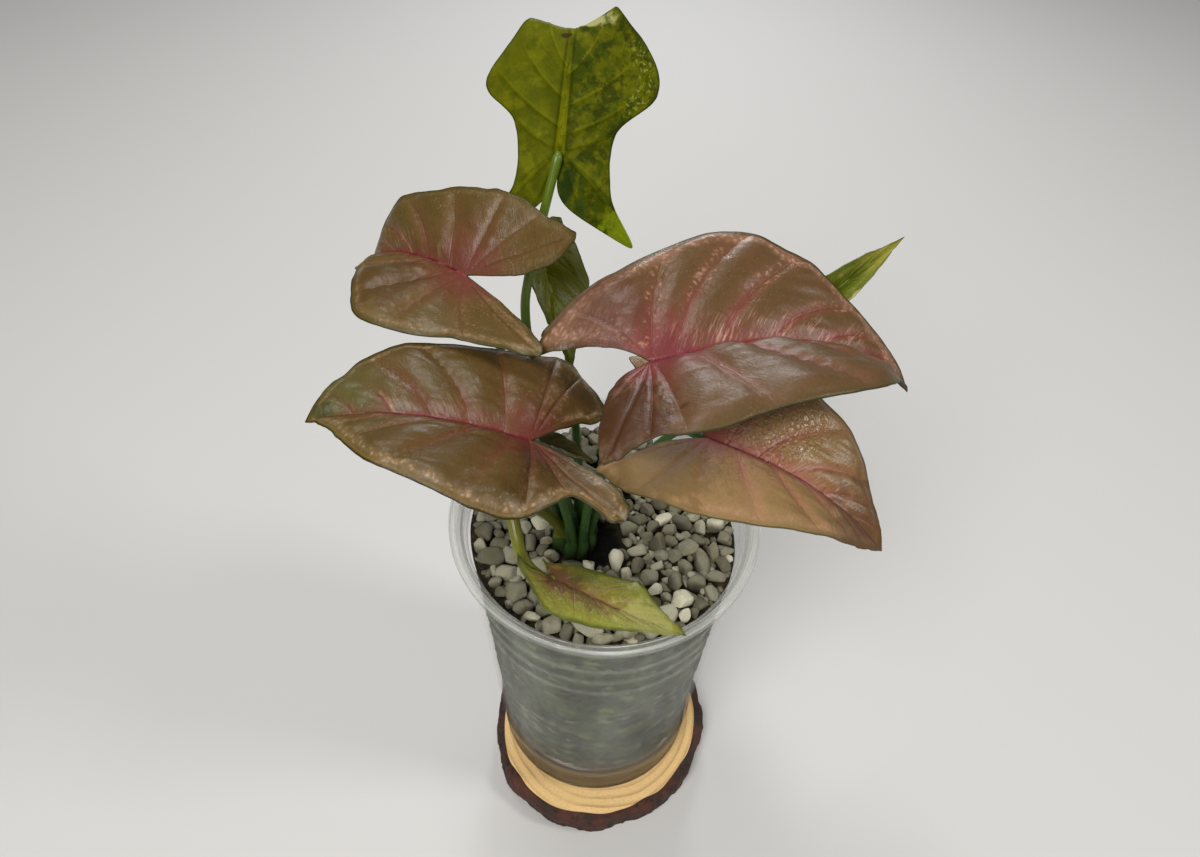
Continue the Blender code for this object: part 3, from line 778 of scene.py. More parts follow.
@dataclass(frozen=True)
class EndGrainFinish:
    """Sawn end grain with growth rings."""

    name: str = "end_grain"
    pale: tuple = (230, 194, 132)
    late: tuple = (146, 104, 58)
    heart: tuple = (160, 122, 74)
    centre: tuple = (0.0035, -0.004, 0.0)
    rings: float = 0.0031

    def material(self) -> Material:
        """Make the finish.

        Returns:
            The sawn wood's material.
        """
        kit = Shader(self.name)
        place = kit.place()
        bent = kit.clouds(place, 38.0, 2.0)
        spot = kit.stretched(place, (1.0, 0.96, 0.0), (-self.centre[0], -self.centre[1], 0.0))
        radius = kit.length(spot)
        turn = (radius + bent * 0.0035) / self.rings
        ring = turn.fraction()
        dark = ring.rise(0.45, 0.92) * ring.fall(0.93, 1.0) * (radius.rise(0.024, 0.037) * 0.7 + 0.3)
        uneven = kit.clouds(place, 55.0, 3.0).rise(0.3, 0.7)
        colour = kit.mix(radius.fall(0.012, 0.036) * 0.5, self.pale, self.heart)
        colour = kit.mix(dark * (uneven * 0.45 + 0.15), colour, self.late)
        fibre = kit.clouds(kit.stretched(place, (1.0, 1.0, 0.2)), 1400.0, 3.0, 0.7)
        colour = kit.mix(fibre.rise(0.45, 0.7) * 0.25, colour, self.late)
        saw = kit.clouds(kit.stretched(place, (0.08, 1.0, 1.0)), 700.0, 2.0)
        return kit.finish(colour, 0.62 + fibre * 0.2, fibre * 0.5 + saw * 0.3 + dark * 0.2, 0.0002, 0.6)


@dataclass(frozen=True)
class BarkFinish:
    """Dark flaking bark, red brown in its cracks."""

    name: str = "bark"
    outer: tuple = (48, 34, 27)
    inner: tuple = (80, 42, 30)
    # dark in the cracks; also the painted shade on the bark's right and back side
    crack_and_shade: tuple = (22, 15, 12)
    dry: tuple = (98, 74, 62)

    def material(self) -> Material:
        """Make the finish.

        Returns:
            The bark's material.
        """
        kit = Shader(self.name)
        place = kit.place()
        flakes = kit.clouds(kit.stretched(place, (1.0, 1.0, 0.25)), 260.0, 4.0, 0.65)
        rough = kit.clouds(place, 420.0, 5.0, 0.7)
        patches = kit.clouds(place, 90.0, 3.0)
        colour = kit.mix(patches.rise(0.36, 0.60), self.outer, self.inner)
        colour = kit.mix(flakes.rise(0.50, 0.62) * 0.8, colour, self.crack_and_shade)
        colour = kit.mix(rough.rise(0.5, 0.7) * 0.35, colour, self.dry)
        # painted shade: the right and back side of the bark is darkened towards the crack colour
        aside = kit.split(place, 0).rise(0.020, 0.040) * kit.split(place, 1).rise(-0.020, 0.020)
        colour = kit.mix(aside * 0.75, colour, self.crack_and_shade)
        height = (1 - flakes) * 0.6 + rough * 0.4
        return kit.finish(colour, 0.72 + rough * 0.2, height, 0.0012, 0.9)


@dataclass(frozen=True)
class FloorFinish:
    """Plain pale floor."""

    name: str = "floor"
    colour: tuple = (196, 195, 193)
    cloud: tuple = (202, 201, 199)

    def material(self) -> Material:
        """Make the finish.

        Returns:
            The floor's material.
        """
        kit = Shader(self.name)
        soft = kit.clouds(kit.place(), 3.0, 2.0)
        return kit.finish(kit.mix(soft * 0.3, self.colour, self.cloud), 0.85)


# Mesh helpers


def mesh_of(name: str, bm: BMesh) -> Mesh:
    """Turn a mesh in mm into a smooth one in metres.

    Args:
        name: Name of the new mesh.
        bm: The mesh in mm, which is freed.

    Returns:
        The new mesh.
    """
    bmesh.ops.scale(bm, vec=Vector((MM, MM, MM)), verts=bm.verts)
    for face in bm.faces:
        face.smooth = True
    mesh = bpy.data.meshes.new(name)
    bm.to_mesh(mesh)
    bm.free()
    return mesh


def add_piece(name: str, bm: BMesh, slot: str, replaced: str, *materials: Material) -> Object:
    """Link a mesh as a piece of the object.

    Args:
        name: The piece's name.
        bm: Its mesh in mm, which is freed.
        slot: A material slot name for it; not used.
        replaced: The CAD node that it stands for, or an empty text.
        materials: Its materials, in the order of its faces' numbers.

    Returns:
        The new object.
    """
    mesh = mesh_of(name, bm)
    for made in materials:
        mesh.materials.append(made)
    piece = bpy.data.objects.new(name, mesh)
    bpy.context.scene.collection.objects.link(piece)
    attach(piece, "root")
    if replaced:
        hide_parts(replaced)
    LOG.info("%s: %d faces", name, len(mesh.polygons))
    return piece


def spline(points: Sequence[Sequence[float]], samples: int) -> list[Vector]:
    """Run a smooth curve through points.

    Args:
        points: The points.
        samples: Steps on each span between two of them.

    Returns:
        The curve's points.
    """
    rows = [Vector(p) for p in points]
    rows = [rows[0] * 2 - rows[1]] + rows + [rows[-1] * 2 - rows[-2]]
    curve = []
    for i in range(1, len(rows) - 2):
        a, b, c, d = rows[i - 1:i + 3]
        for k in range(samples):
            t = k / samples
            curve.append(0.5 * (2 * b + (c - a) * t + (2 * a - 5 * b + 4 * c - d) * t * t
                                + (3 * b - a - 3 * c + d) * t ** 3))
    curve.append(rows[-2])
    return curve


def mean_turn(distance: float, angle_at: Callable[[float], float], steps: int = 16) -> tuple[float, float]:
    """Follow a direction that changes along the way.

    Args:
        distance: Length of the way.
        angle_at: Gives the direction in radians at a distance.
        steps: Steps that the way is cut into.

    Returns:
        How far the way goes ahead, and how far aside.
    """
    across = along = 0.0
    for k in range(steps):
        angle = angle_at(distance * (k + 0.5) / steps)
        along += math.cos(angle)
        across += math.sin(angle)
    return distance * along / steps, distance * across / steps


def ring_frame(line: list[Vector]) -> list[tuple[Vector, Vector]]:
    """Find the cross directions along a line, without twist.

    Args:
        line: The line's points.

    Returns:
        Two directions at each point.
    """
    frames = []
    across = None
    for k, spot in enumerate(line):
        ahead = (line[min(k + 1, len(line) - 1)] - line[max(k - 1, 0)]).normalized()
        if across is None:
            across = ahead.orthogonal().normalized()
        across = (across - ahead * across.dot(ahead)).normalized()
        frames.append((across, ahead.cross(across)))
    return frames


def turns(count: int) -> list[float]:
    """Return the angles of the points round a ring, in radians."""
    return [2 * math.pi * k / count for k in range(count)]


def bridge(bm: BMesh, rings: list[list[BMVert]], flipped: bool = False) -> list[BMFace]:
    """Join rings of equal counts with bands of faces.

    Args:
        bm: The mesh.
        rings: The rings, in order.
        flipped: Whether the faces look the other way.

    Returns:
        The new faces, band by band.
    """
    made = []
    for lower, upper in zip(rings, rings[1:]):
        for a, b, c, d in zip(lower, lower[1:] + lower[:1], upper[1:] + upper[:1], upper):
            made.append(bm.faces.new((a, d, c, b) if flipped else (a, b, c, d)))
    return made


def close_ends(bm: BMesh, rings: list[list[BMVert]]) -> None:
    """Close the first and the last ring with a face each."""
    bm.faces.new(rings[0][::-1])
    bm.faces.new(rings[-1])


def add_tube(bm: BMesh, line: list[Vector], radii: list[tuple[float, float]], sides: int,
             turn: float = 0.0) -> None:
    """Add a closed tube along a line to a mesh.

    Args:
        bm: The mesh, which gets the point values "around" and "share".
        line: Points of the tube's axis.
        radii: Two half widths of its oval section at each point.
        sides: Points round it.
        turn: Turn of the section, in radians.
    """
    around = bm.verts.layers.float.get("around") or bm.verts.layers.float.new("around")
    share = bm.verts.layers.float.get("share") or bm.verts.layers.float.new("share")
    rings = []
    for k, (spot, (first, second), (wide, high)) in enumerate(zip(line, ring_frame(line), radii)):
        flat = first * math.cos(turn) + second * math.sin(turn)
        up = second * math.cos(turn) - first * math.sin(turn)
        ring = [bm.verts.new(spot + flat * (wide * math.cos(angle)) + up * (high * math.sin(angle)))
                for angle in turns(sides)]
        for n, vert in enumerate(ring):
            vert[around] = abs(n / sides - 0.5) * 2
            vert[share] = k / (len(line) - 1)
        rings.append(ring)
    bridge(bm, rings)
    close_ends(bm, rings)


def polyline_gaps(points: np.ndarray, line: np.ndarray) -> tuple[np.ndarray, np.ndarray]:
    """Measure points against a line in a plane.

    Args:
        points: Places, n by 2.
        line: The line's points, m by 2.

    Returns:
        Each point's distance to the line, and the sign of the side that it lies on.
    """
    start, step = line[:-1], line[1:] - line[:-1]
    offset = points[:, None, :] - start[None, :, :]
    share = np.clip((offset * step).sum(2) / np.maximum((step * step).sum(1), 1e-9), 0.0, 1.0)
    gap = offset - share[..., None] * step
    distance = np.sqrt((gap * gap).sum(2))
    best = distance.argmin(1)
    rows = np.arange(len(points))
    cross = step[best, 0] * offset[rows, best, 1] - step[best, 1] * offset[rows, best, 0]
    return distance[rows, best], np.sign(cross)


# Leaves


@dataclass(frozen=True)
class Half:
    """One half of a blade, from the midrib out."""

    width: float  # mm at its widest
    widest_at: float = 0.10  # where that is, as a share of the length
    shoulder: float = 0.72  # shares of the width at 0.58 and 0.86 of the length
    point: float = 0.24
    waist: float = 0.0  # share of the width at 0.12 of the length, 0 for none
    flank: float = 0.80  # share of the width beside the lobe
    lobe: float = 20.0  # mm that the lobe reaches behind the joint
    splay: float = 18.0  # mm from the midrib's line to the lobe's end
    inset: float = 0.45  # share of the splay where the lobe's inner edge bends
    lobe_bend: float = 0.0  # degrees that the lobe bends down
    lift: float = 10.0  # degrees that the half rises from the midrib
    droop: float = -15.0  # degrees that it turns down on the way to its edge
    late_fold: float = 0.0  # share of the length by which its fold starts later
    blunt: float = 0.0  # mm across the lobe's blunt end


class Detail(Enum):
    """How finely a blade is divided: samples on each span of its edge, and rows from rib to edge."""

    LARGE = (22, 34)
    MIDDLE = (16, 20)
    SMALL = (12, 12)


@dataclass(frozen=True)
class FlatSpot:
    """A point of the flat blade, measured against its midrib, veins and edge."""

    sign: int  # -1 on the left half, 1 on the right
    across: float  # mm from the midrib's line
    ahead: float  # mm in front of the joint
    along: float  # the same as a share of the length
    rib: float  # mm from the midrib
    edge: float  # mm from the edge
    joint: float  # mm from the joint
    phase: float  # whole at each side vein
    gap: float  # mm between the two veins that it lies between


class BladeLayers:
    """What a blade's mesh holds at each of its points."""

    def __init__(self, bm: BMesh) -> None:
        """Add the layers to a mesh.

        Args:
            bm: The mesh.
        """
        self.values = {name: bm.verts.layers.float.new(name) for name in (*MEASURES, "under")}
        self.flat = bm.verts.layers.float_vector.new("flat")
        self.up = bm.verts.layers.float_vector.new("up")

    def store(self, vert: BMVert, at: FlatSpot) -> None:
        """Write a point's measures to the mesh.

        Args:
            vert: The mesh's point.
            at: The measures.
        """
        for name in MEASURES:
            vert[self.values[name]] = getattr(at, name)
        vert[self.flat] = Vector((at.sign * at.across, at.ahead, 0.0))


@dataclass
class Leaf:
    """A blade with its stalk."""

    name: str
    joint: tuple  # where the stalk meets the blade, in mm
    heading: float  # degrees of the midrib: round from +X, up, and turned about itself
    pitch: float
    roll: float
    length: float  # mm from the joint to the tip
    left: Half
    right: Half
    arch: float  # degrees that the midrib bends: evenly, and more towards the tip
    tip_drop: float
    finish: LeafFinish
    slot: str
    curl: float = 0.0  # degrees of a fold across the blade, and where it is
    curl_at: float = 0.6
    wave: float = 0.6  # mm that the edge waves
    cad_samples: int = 4
    ring_angle: float = 0.0  # where the stalk stands on the crown, in degrees and mm
    ring_radius: float = 5.1
    stalk: tuple = ()  # points of the stalk between crown and joint
    stalk_radius: tuple = (1.6, 1.0)
    stalk_finish: StalkFinish = StalkFinish()
    detail: Detail = Detail.LARGE
    thickness: float = 0.5
    quilt: float = 1.3  # mm that the blade bulges between its veins
    groove: float = 0.4  # mm that the midrib is pressed in
    crinkle: float = 0.5
    ruffle: float = 0.5  # mm that the edge wanders
    forward: Vector = field(init=False)
    side: Vector = field(init=False)
    normal: Vector = field(init=False)

    def __post_init__(self) -> None:
        """Work out the blade's three directions."""
        heading, pitch, roll = (math.radians(v) for v in (self.heading, self.pitch, self.roll))
        self.forward = Vector((math.cos(heading) * math.cos(pitch), math.sin(heading) * math.cos(pitch),
                               math.sin(pitch)))
        level = Vector((math.sin(heading), -math.cos(heading), 0.0))
        upright = level.cross(self.forward)
        self.side = level * math.cos(roll) + upright * math.sin(roll)
        self.normal = upright * math.cos(roll) - level * math.sin(roll)

    def midrib_angle(self, distance: float, late: float = 0.0) -> float:
        """Work out how far the midrib has bent.

        Args:
            distance: Distance from the joint.
            late: Share of the length by which the fold starts later.

        Returns:
            The bend in radians.
        """
        share = distance / self.length
        fold = smoothstep(share - late, self.curl_at, self.curl_at + 0.25)
        return math.radians(self.arch * share + self.tip_drop * share * share + self.curl * fold)

    def point(self, half: Half, at: FlatSpot, lift: float) -> Vector:
        """Bend a point of the flat blade into its place.

        Args:
            half: The half that it is on.
            at: The point.
            lift: Height above the blade's middle surface.

        Returns:
            The place in the part's frame, in mm.
        """
        if at.ahead >= 0:
            late = half.late_fold * min(at.across / (0.45 * half.width), 1.0)
            forward, rise = mean_turn(at.ahead, lambda distance: self.midrib_angle(distance, late))
            angle = self.midrib_angle(at.ahead, late)
        else:
            bend = math.radians(half.lobe_bend) / half.lobe
            forward, rise = mean_turn(-at.ahead, lambda distance: bend * distance)
            forward = -forward
            angle = bend * at.ahead
        side_lift, side_droop = math.radians(half.lift), math.radians(half.droop) / half.width
        out, up = mean_turn(at.across, lambda distance: side_lift + side_droop * distance)
        local_up = self.normal * math.cos(angle) - self.forward * math.sin(angle)
        return (Vector(self.joint) + self.forward * forward + self.normal * rise
                + self.side * (at.sign * out) + local_up * (up + lift))

    def edge(self, half: Half, samples: int) -> list[Vector]:
        """Draw the half's edge.

        Args:
            half: The half.
            samples: Steps on each of its spans.

        Returns:
            Its points, from the tip round the lobe to the joint.
        """
        width, lobe = half.width, half.lobe
        front = [(share * width, place * self.length, 0.0) for share, place in
                 ((0.0, 1.0), (half.point, 0.86), (half.shoulder, 0.58), (1.0, half.widest_at))]
        if half.waist:
            front.append((half.waist * width, 0.12 * self.length, 0.0))
        tip = Vector((half.splay, -lobe, 0.0))
        beside = Vector((lobe, half.splay, 0.0)).normalized() * (half.blunt / 2)
        end = [tuple(tip + beside), tuple(tip - beside)] if half.blunt else [tuple(tip)]
        notch = [(half.inset * half.splay, -0.62 * lobe, 0.0)]
        flank = [(half.flank * width, -0.45 * lobe, 0.0)]
        return spline(front + flank + end + notch + [(0.0, 0.0, 0.0)], samples)

    def rib(self, half: Half, samples: int) -> list[Vector]:
        """Draw the line that the half is filled from.

        Args:
            half: The half.
            samples: Steps on each of its spans.

        Returns:
            Its points, down the midrib, then out and back along the lobe.
        """
        outer = Vector((half.flank * half.width, -0.45 * half.lobe, 0.0))
        inner = Vector((half.inset * half.splay, -0.62 * half.lobe, 0.0))
        middle = (outer + inner) / 2
        end = Vector((half.splay, -half.lobe, 0.0)) * 0.7 + middle * 0.3
        shares = (1.0, 0.80, 0.55, 0.25, 0.0) if half.waist else (1.0, 0.80, 0.45, 0.0)
        stops = [Vector((0.0, share * self.length, 0.0)) for share in shares]
        stops += [middle, end] + ([end] if half.blunt else []) + [middle, Vector((0.0, 0.0, 0.0))]
        line = []
        for first, second in zip(stops, stops[1:]):
            line += [first.lerp(second, k / samples) for k in range(samples)]
        return line + [stops[-1]]

    def veins(self, half: Half, sign: int) -> list[np.ndarray]:
        """Draw the half's side veins.

        Args:
            half: The half.
            sign: -1 on the left half, 1 on the right.

        Returns:
            Lines in the flat blade, from the tip to the lobe.
        """
        samples = 10
        edge = self.edge(half, samples)
        waist, blunt = float(bool(half.waist)), float(bool(half.blunt))
        shift = 0.02 * sign
        starts = ((0.76 + shift, 0.55), (0.59 + shift, 0.95), (0.42 + shift, 1.42), (0.26 + shift, 1.95),
                  (0.11 + shift, 2.60), (0.01, 3.30 + 0.4 * waist), (0.0, 4.10 + waist),
                  (0.0, 4.90 + waist + 0.5 * blunt), (0.0, 5.70 + waist + blunt))
        lines = []
        for share, stop in starts:
            start = Vector((0.0, share * self.length))
            end = edge[min(int(round(stop * samples)), len(edge) - 2)].to_2d()
            if share > 0:
                bend = Vector((0.55 * end.x, start.y + 0.30 * (end.y - start.y)))
            else:
                bend = Vector((0.50 * end.x, 0.32 * end.y))
            line = []
            for k in range(13):
                t = k / 10
                line.append(start * (1 - t) ** 2 + bend * (2 * t * (1 - t)) + end * t * t if t <= 1
                            else end + (end - bend) * (2 * (t - 1)))
            lines.append(np.array([tuple(spot) for spot in line]))
        return lines

    def vein_fields(self, half: Half, sign: int, flats: np.ndarray) -> tuple[np.ndarray, np.ndarray]:
        """Place points between the side veins.

        Args:
            half: The half that they are on.
            sign: -1 on the left half, 1 on the right.
            flats: Their places in the flat blade, n by 2.

        Returns:
            The phase, whole at each vein, and the width in mm between the two veins.
        """
        distances, behind = [], []
        for line in self.veins(half, sign):
            distance, side = polyline_gaps(flats, line)
            distances.append(distance)
            behind.append(side < 0)
        distances, behind = np.array(distances), np.array(behind)
        count = len(distances)
        passed = np.minimum.accumulate(behind, axis=0).sum(0)
        rows = np.arange(flats.shape[0])
        before = np.where(passed > 0, distances[np.maximum(passed - 1, 0), rows], 7.0)
        after = np.where(passed < count, distances[np.minimum(passed, count - 1), rows], 7.0)
        gap = np.maximum(before + after, 1e-4)
        return passed + before / gap, gap

    def build_blade(self) -> Object:
        """Build the blade with its veins pressed in above and raised below.

        Returns:
            The blade.
        """
        bm = bmesh.new()
        layers = BladeLayers(bm)
        for half, sign in ((self.left, -1), (self.right, 1)):
            self._add_half(bm, layers, half, sign)
        bmesh.ops.remove_doubles(bm, verts=bm.verts, dist=0.02)
        bmesh.ops.dissolve_degenerate(bm, edges=bm.edges, dist=0.005)
        bm.normal_update()
        if sum(face.normal.dot(self.normal) * face.calc_area() for face in bm.faces) < 0:
            bmesh.ops.reverse_faces(bm, faces=bm.faces)
        bm.normal_update()
        self._thicken(bm, layers)
        return add_piece(f"leaf_{self.name}", bm, self.slot, f"blade_{self.name}", self.finish.material())

    def _measured(self, half: Half, sign: int, rib: list[Vector],
                  edge: list[Vector]) -> list[list[FlatSpot]]:
        """Spread points over a half and measure them.

        Args:
            half: The half.
            sign: -1 on the left half, 1 on the right.
            rib: The points that it is filled from.
            edge: The points of its edge.

        Returns:
            A column of points for each point of the edge, from the rib out.
        """
        rows = self.detail.value[1]
        flats = np.array([[*start.lerp(end, row / rows).to_2d()] for start, end in zip(rib, edge)
                          for row in range(rows + 1)])
        phases, gaps = self.vein_fields(half, sign, flats)
        margins, _ = polyline_gaps(flats, np.array([tuple(spot.to_2d()) for spot in edge]))
        spots = []
        measures = zip(flats.tolist(), margins.tolist(), phases.tolist(), gaps.tolist())
        for (across, ahead), margin, phase, gap in measures:
            joint = math.hypot(across, ahead)
            spots.append(FlatSpot(sign=sign, across=across, ahead=ahead, along=ahead / self.length,
                                  rib=across if ahead >= 0 else joint, edge=margin, joint=joint, phase=phase,
                                  gap=gap))
        return [spots[k:k + rows + 1] for k in range(0, len(spots), rows + 1)]

    def _add_half(self, bm: BMesh, layers: BladeLayers, half: Half, sign: int) -> None:
        """Add one half of the blade's middle surface.

        Args:
            bm: The blade's mesh.
            layers: Its layers.
            half: The half.
            sign: -1 on the left half, 1 on the right.
        """
        samples, rows = self.detail.value
        rib = self.rib(half, samples)
        edge = self._ruffled(self.edge(half, samples), rib, sign)
        scale = self.cad_samples / samples
        cad_last = (len(edge) - 1) * scale
        columns = []
        for k, spots in enumerate(self._measured(half, sign, rib, edge)):
            step = k * scale
            swing = 2 * math.pi * WAVES * step / cad_last + WAVE_STARTS[sign]
            fade = min(1.0, step / 4, (cad_last - step) / 4)
            flutter = noise.noise(Vector((k / samples * 2.3, sign * 3.0, self.length))) * self.ruffle * 1.6
            column = []
            for row, at in enumerate(spots):
                out = row / rows
                lift = (self.wave * math.sin(swing) + flutter * out) * out ** 2 * fade + self._relief(at)
                vert = bm.verts.new(self.point(half, at, lift))
                layers.store(vert, at)
                if at.rib < KEEL_REACH:
                    vert[layers.up] = self.point(half, at, lift + 1.0) - vert.co
                column.append(vert)
            columns.append(column)
        for first, second in zip(columns, columns[1:]):
            for row in range(rows):
                corners = (first[row], first[row + 1], second[row + 1], second[row])
                bm.faces.new(corners if sign > 0 else corners[::-1])

    def _ruffled(self, edge: list[Vector], rib: list[Vector], sign: int) -> list[Vector]:
        """Return the edge moved in and out a little in its own plane.

        Args:
            edge: The edge's points.
            rib: The points that the blade is filled from.
            sign: -1 on the left half, 1 on the right.

        Returns:
            The moved points, with both ends where they were.
        """
        samples, last, moved = self.detail.value[0], len(edge) - 1, []
        for k, (start, end) in enumerate(zip(rib, edge)):
            fade = smoothstep(min(k, last - k) / samples, 0.1, 1.0)
            wobble = noise.noise(Vector((k / samples * 2.9, sign * 7.0, self.length + 5)))
            wobble += 0.5 * noise.noise(Vector((k / samples * 7.5, sign * 9.0, self.length)))
            moved.append(end + (end - start).normalized() * (wobble * self.ruffle * fade))
        return moved

    def _relief(self, at: FlatSpot) -> float:
        """Work out the quilting and the pressed-in veins.

        Args:
            at: The point.

        Returns:
            Their height in mm.
        """
        between = at.phase % 1.0
        near = min(between, 1 - between) * at.gap
        calm = smoothstep(at.edge, 0.0, 4.0) * smoothstep(at.joint, 2.0, 10.0) * smoothstep(at.rib, 0.5, 4.0)
        calm *= 1 - 0.75 * smoothstep(-at.ahead, 0.0, 8.0)
        swell = math.sin(math.pi * between) ** 0.55 * min(at.gap / 9, 1.3) * self.quilt * calm
        wrinkle = noise.noise(Vector((at.phase * 3.0, at.rib * 0.55, self.length)))
        swell += wrinkle * math.sin(math.pi * between) * self.crinkle * calm
        vein = -0.20 * math.exp(-(near / 0.50) ** 2) * smoothstep(at.edge, 0.3, 3.0)
        rib = -self.groove * math.exp(-(at.rib / 1.1) ** 2) * (1 - 0.7 * max(at.along, 0.0))
        uneven = noise.noise(Vector((at.sign * at.across * 0.13, at.ahead * 0.13, self.length))) * 0.45
        uneven *= smoothstep(at.edge, 0, 3)
        relief = (swell + vein + rib * smoothstep(at.edge, 0.0, 2.0) + uneven * min(self.quilt * 2, 1.0)
                  * smoothstep(at.joint, 1.0, 8.0))
        if self.curl:
            relief *= 1 - smoothstep(at.along, self.curl_at - 0.12, self.curl_at)
        return relief

    def _thicken(self, bm: BMesh, layers: BladeLayers) -> None:
        """Turn the middle surface into a thin closed blade with keels under its veins.

        Args:
            bm: The blade's mesh.
            layers: Its layers.
        """
        tops, faces = list(bm.verts), list(bm.faces)
        open_edges = [edge for edge in bm.edges if edge.is_boundary]
        ends = [(loop.vert, loop.link_loop_next.vert) for edge in open_edges for loop in edge.link_loops[:1]]
        below = {}
        for vert in tops:
            along, rib, edge, joint, phase, gap = (vert[layers.values[name]] for name in MEASURES)
            upright = math.exp(-(rib / 2.0) ** 2) * vert[layers.up].length
            normal = vert.normal.lerp(vert[layers.up], min(upright, 1.0)).normalized()
            between = phase % 1.0
            near = min(between, 1 - between) * gap
            taper = smoothstep(edge, 0.0, 2.0)
            keel = 0.55 * math.exp(-(rib / 0.8) ** 2) * (1 - 0.8 * max(along, 0.0))
            keel += 0.6 * math.exp(-(rib / 1.0) ** 2) * (1 - smoothstep(joint, 0.5, 13))
            keel = (keel + 0.18 * math.exp(-(near / 0.45) ** 2)) * taper
            half = self.thickness * (0.30 + 0.20 * taper)
            twin = bm.verts.new(vert.co - normal * (half + keel))
            for layer in layers.values.values():
                twin[layer] = vert[layer]
            twin[layers.values["under"]] = 1.0
            twin[layers.flat] = vert[layers.flat]
            below[vert] = twin
            vert.co += normal * half
        for face in faces:
            bm.faces.new([below[vert] for vert in reversed(face.verts)])
        for first, second in ends:
            bm.faces.new((second, first, below[first], below[second]))

    def stalk_line(self) -> list[Vector]:
        """Draw the stalk's axis.

        Returns:
            Its points, from its foot in the crown to the joint.
        """
        angle = math.radians(self.ring_angle)
        foot = Vector((CROWN_CENTRE[0] + self.ring_radius * math.cos(angle),
                       CROWN_CENTRE[1] + self.ring_radius * math.sin(angle), CROWN_TOP + 0.75))
        stops = [foot, foot + Vector((0, 0, 5))] + [Vector(p) for p in self.stalk]
        thin = self.stalk_radius[1]
        direction = (Vector(self.joint) - stops[-1]).normalized()
        lean = math.sqrt(max(0.0, 1.0 - direction.dot(self.normal) ** 2))
        stops.append(Vector(self.joint) - self.normal * (0.25 + thin * lean * 0.8))
        return spline(stops, 10)

    def build_stalk(self) -> Object:
        """Build the stalk, wider at its sheathed foot and swollen under the blade.

        Returns:
            The stalk.
        """
        line = self.stalk_line()
        line.insert(0, line[0] - Vector((0, 0, 3)))
        thick, thin = self.stalk_radius
        radii = []
        for k in range(len(line)):
            share = k / (len(line) - 1)
            radius = thick + (thin - thick) * share
            swell = 1 + 0.18 * smoothstep(share, 0.90, 0.98) * (1 - smoothstep(share, 0.98, 1.02))
            wide = 1 + 0.35 * (1 - smoothstep(share, 0.0, 0.22))
            radius *= 1 - 0.55 * smoothstep(share, 0.985, 1.0)
            radii.append((radius * swell * wide, radius * swell * (2 - wide if wide > 1.2 else 0.96)))
        bm = bmesh.new()
        add_tube(bm, line, radii, STALK_SIDES, math.radians(self.ring_angle + 90))
        return add_piece(f"stalk_{self.name}", bm, "stalk_green", f"petiole_{self.name}",
                         self.stalk_finish.material())


@dataclass
class Crown:
    """The cluster of sheathed stalk bases."""

    leaves: tuple[Leaf, ...]
    base_height: float = 126.0
    finish: SheathFinish = SheathFinish()

    def build(self) -> Object:
        """Build the overlapping sheaths as one piece.

        Returns:
            The crown.
        """
        bm = bmesh.new()
        foot = Vector((*CROWN_CENTRE, self.base_height))
        for leaf in self.leaves:
            stalk = leaf.stalk_line()
            offset = stalk[0] - Vector((*CROWN_CENTRE, stalk[0].z))
            stops = [foot + offset * 0.45, foot + offset * 0.75 + Vector((0, 0, 8)),
                     stalk[0] - Vector((0, 0, 2)), stalk[6], stalk[13]]
            line = spline(stops, 8)
            radii = []
            for k in range(len(line)):
                share = k / (len(line) - 1)
                wide = 2.7 - 1.0 * smoothstep(share, 0.25, 1.0)
                radii.append((wide, wide * (0.85 - 0.25 * share)))
            add_tube(bm, line, radii, STALK_SIDES, math.radians(leaf.ring_angle + 90))
        return add_piece("crown_sheaths", bm, "stem_green", "stem_crown", self.finish.material())


# Cup, filling and slice


@dataclass(frozen=True)
class StoneBatch:
    """Stones of one range of sizes."""

    count: int
    small: float  # least and largest mean radius in mm
    large: float
    spread: float  # how far apart two stones stay, as a share of their radii together
    sink: float  # lowest and highest centre against the bed's surface in mm
    top: float


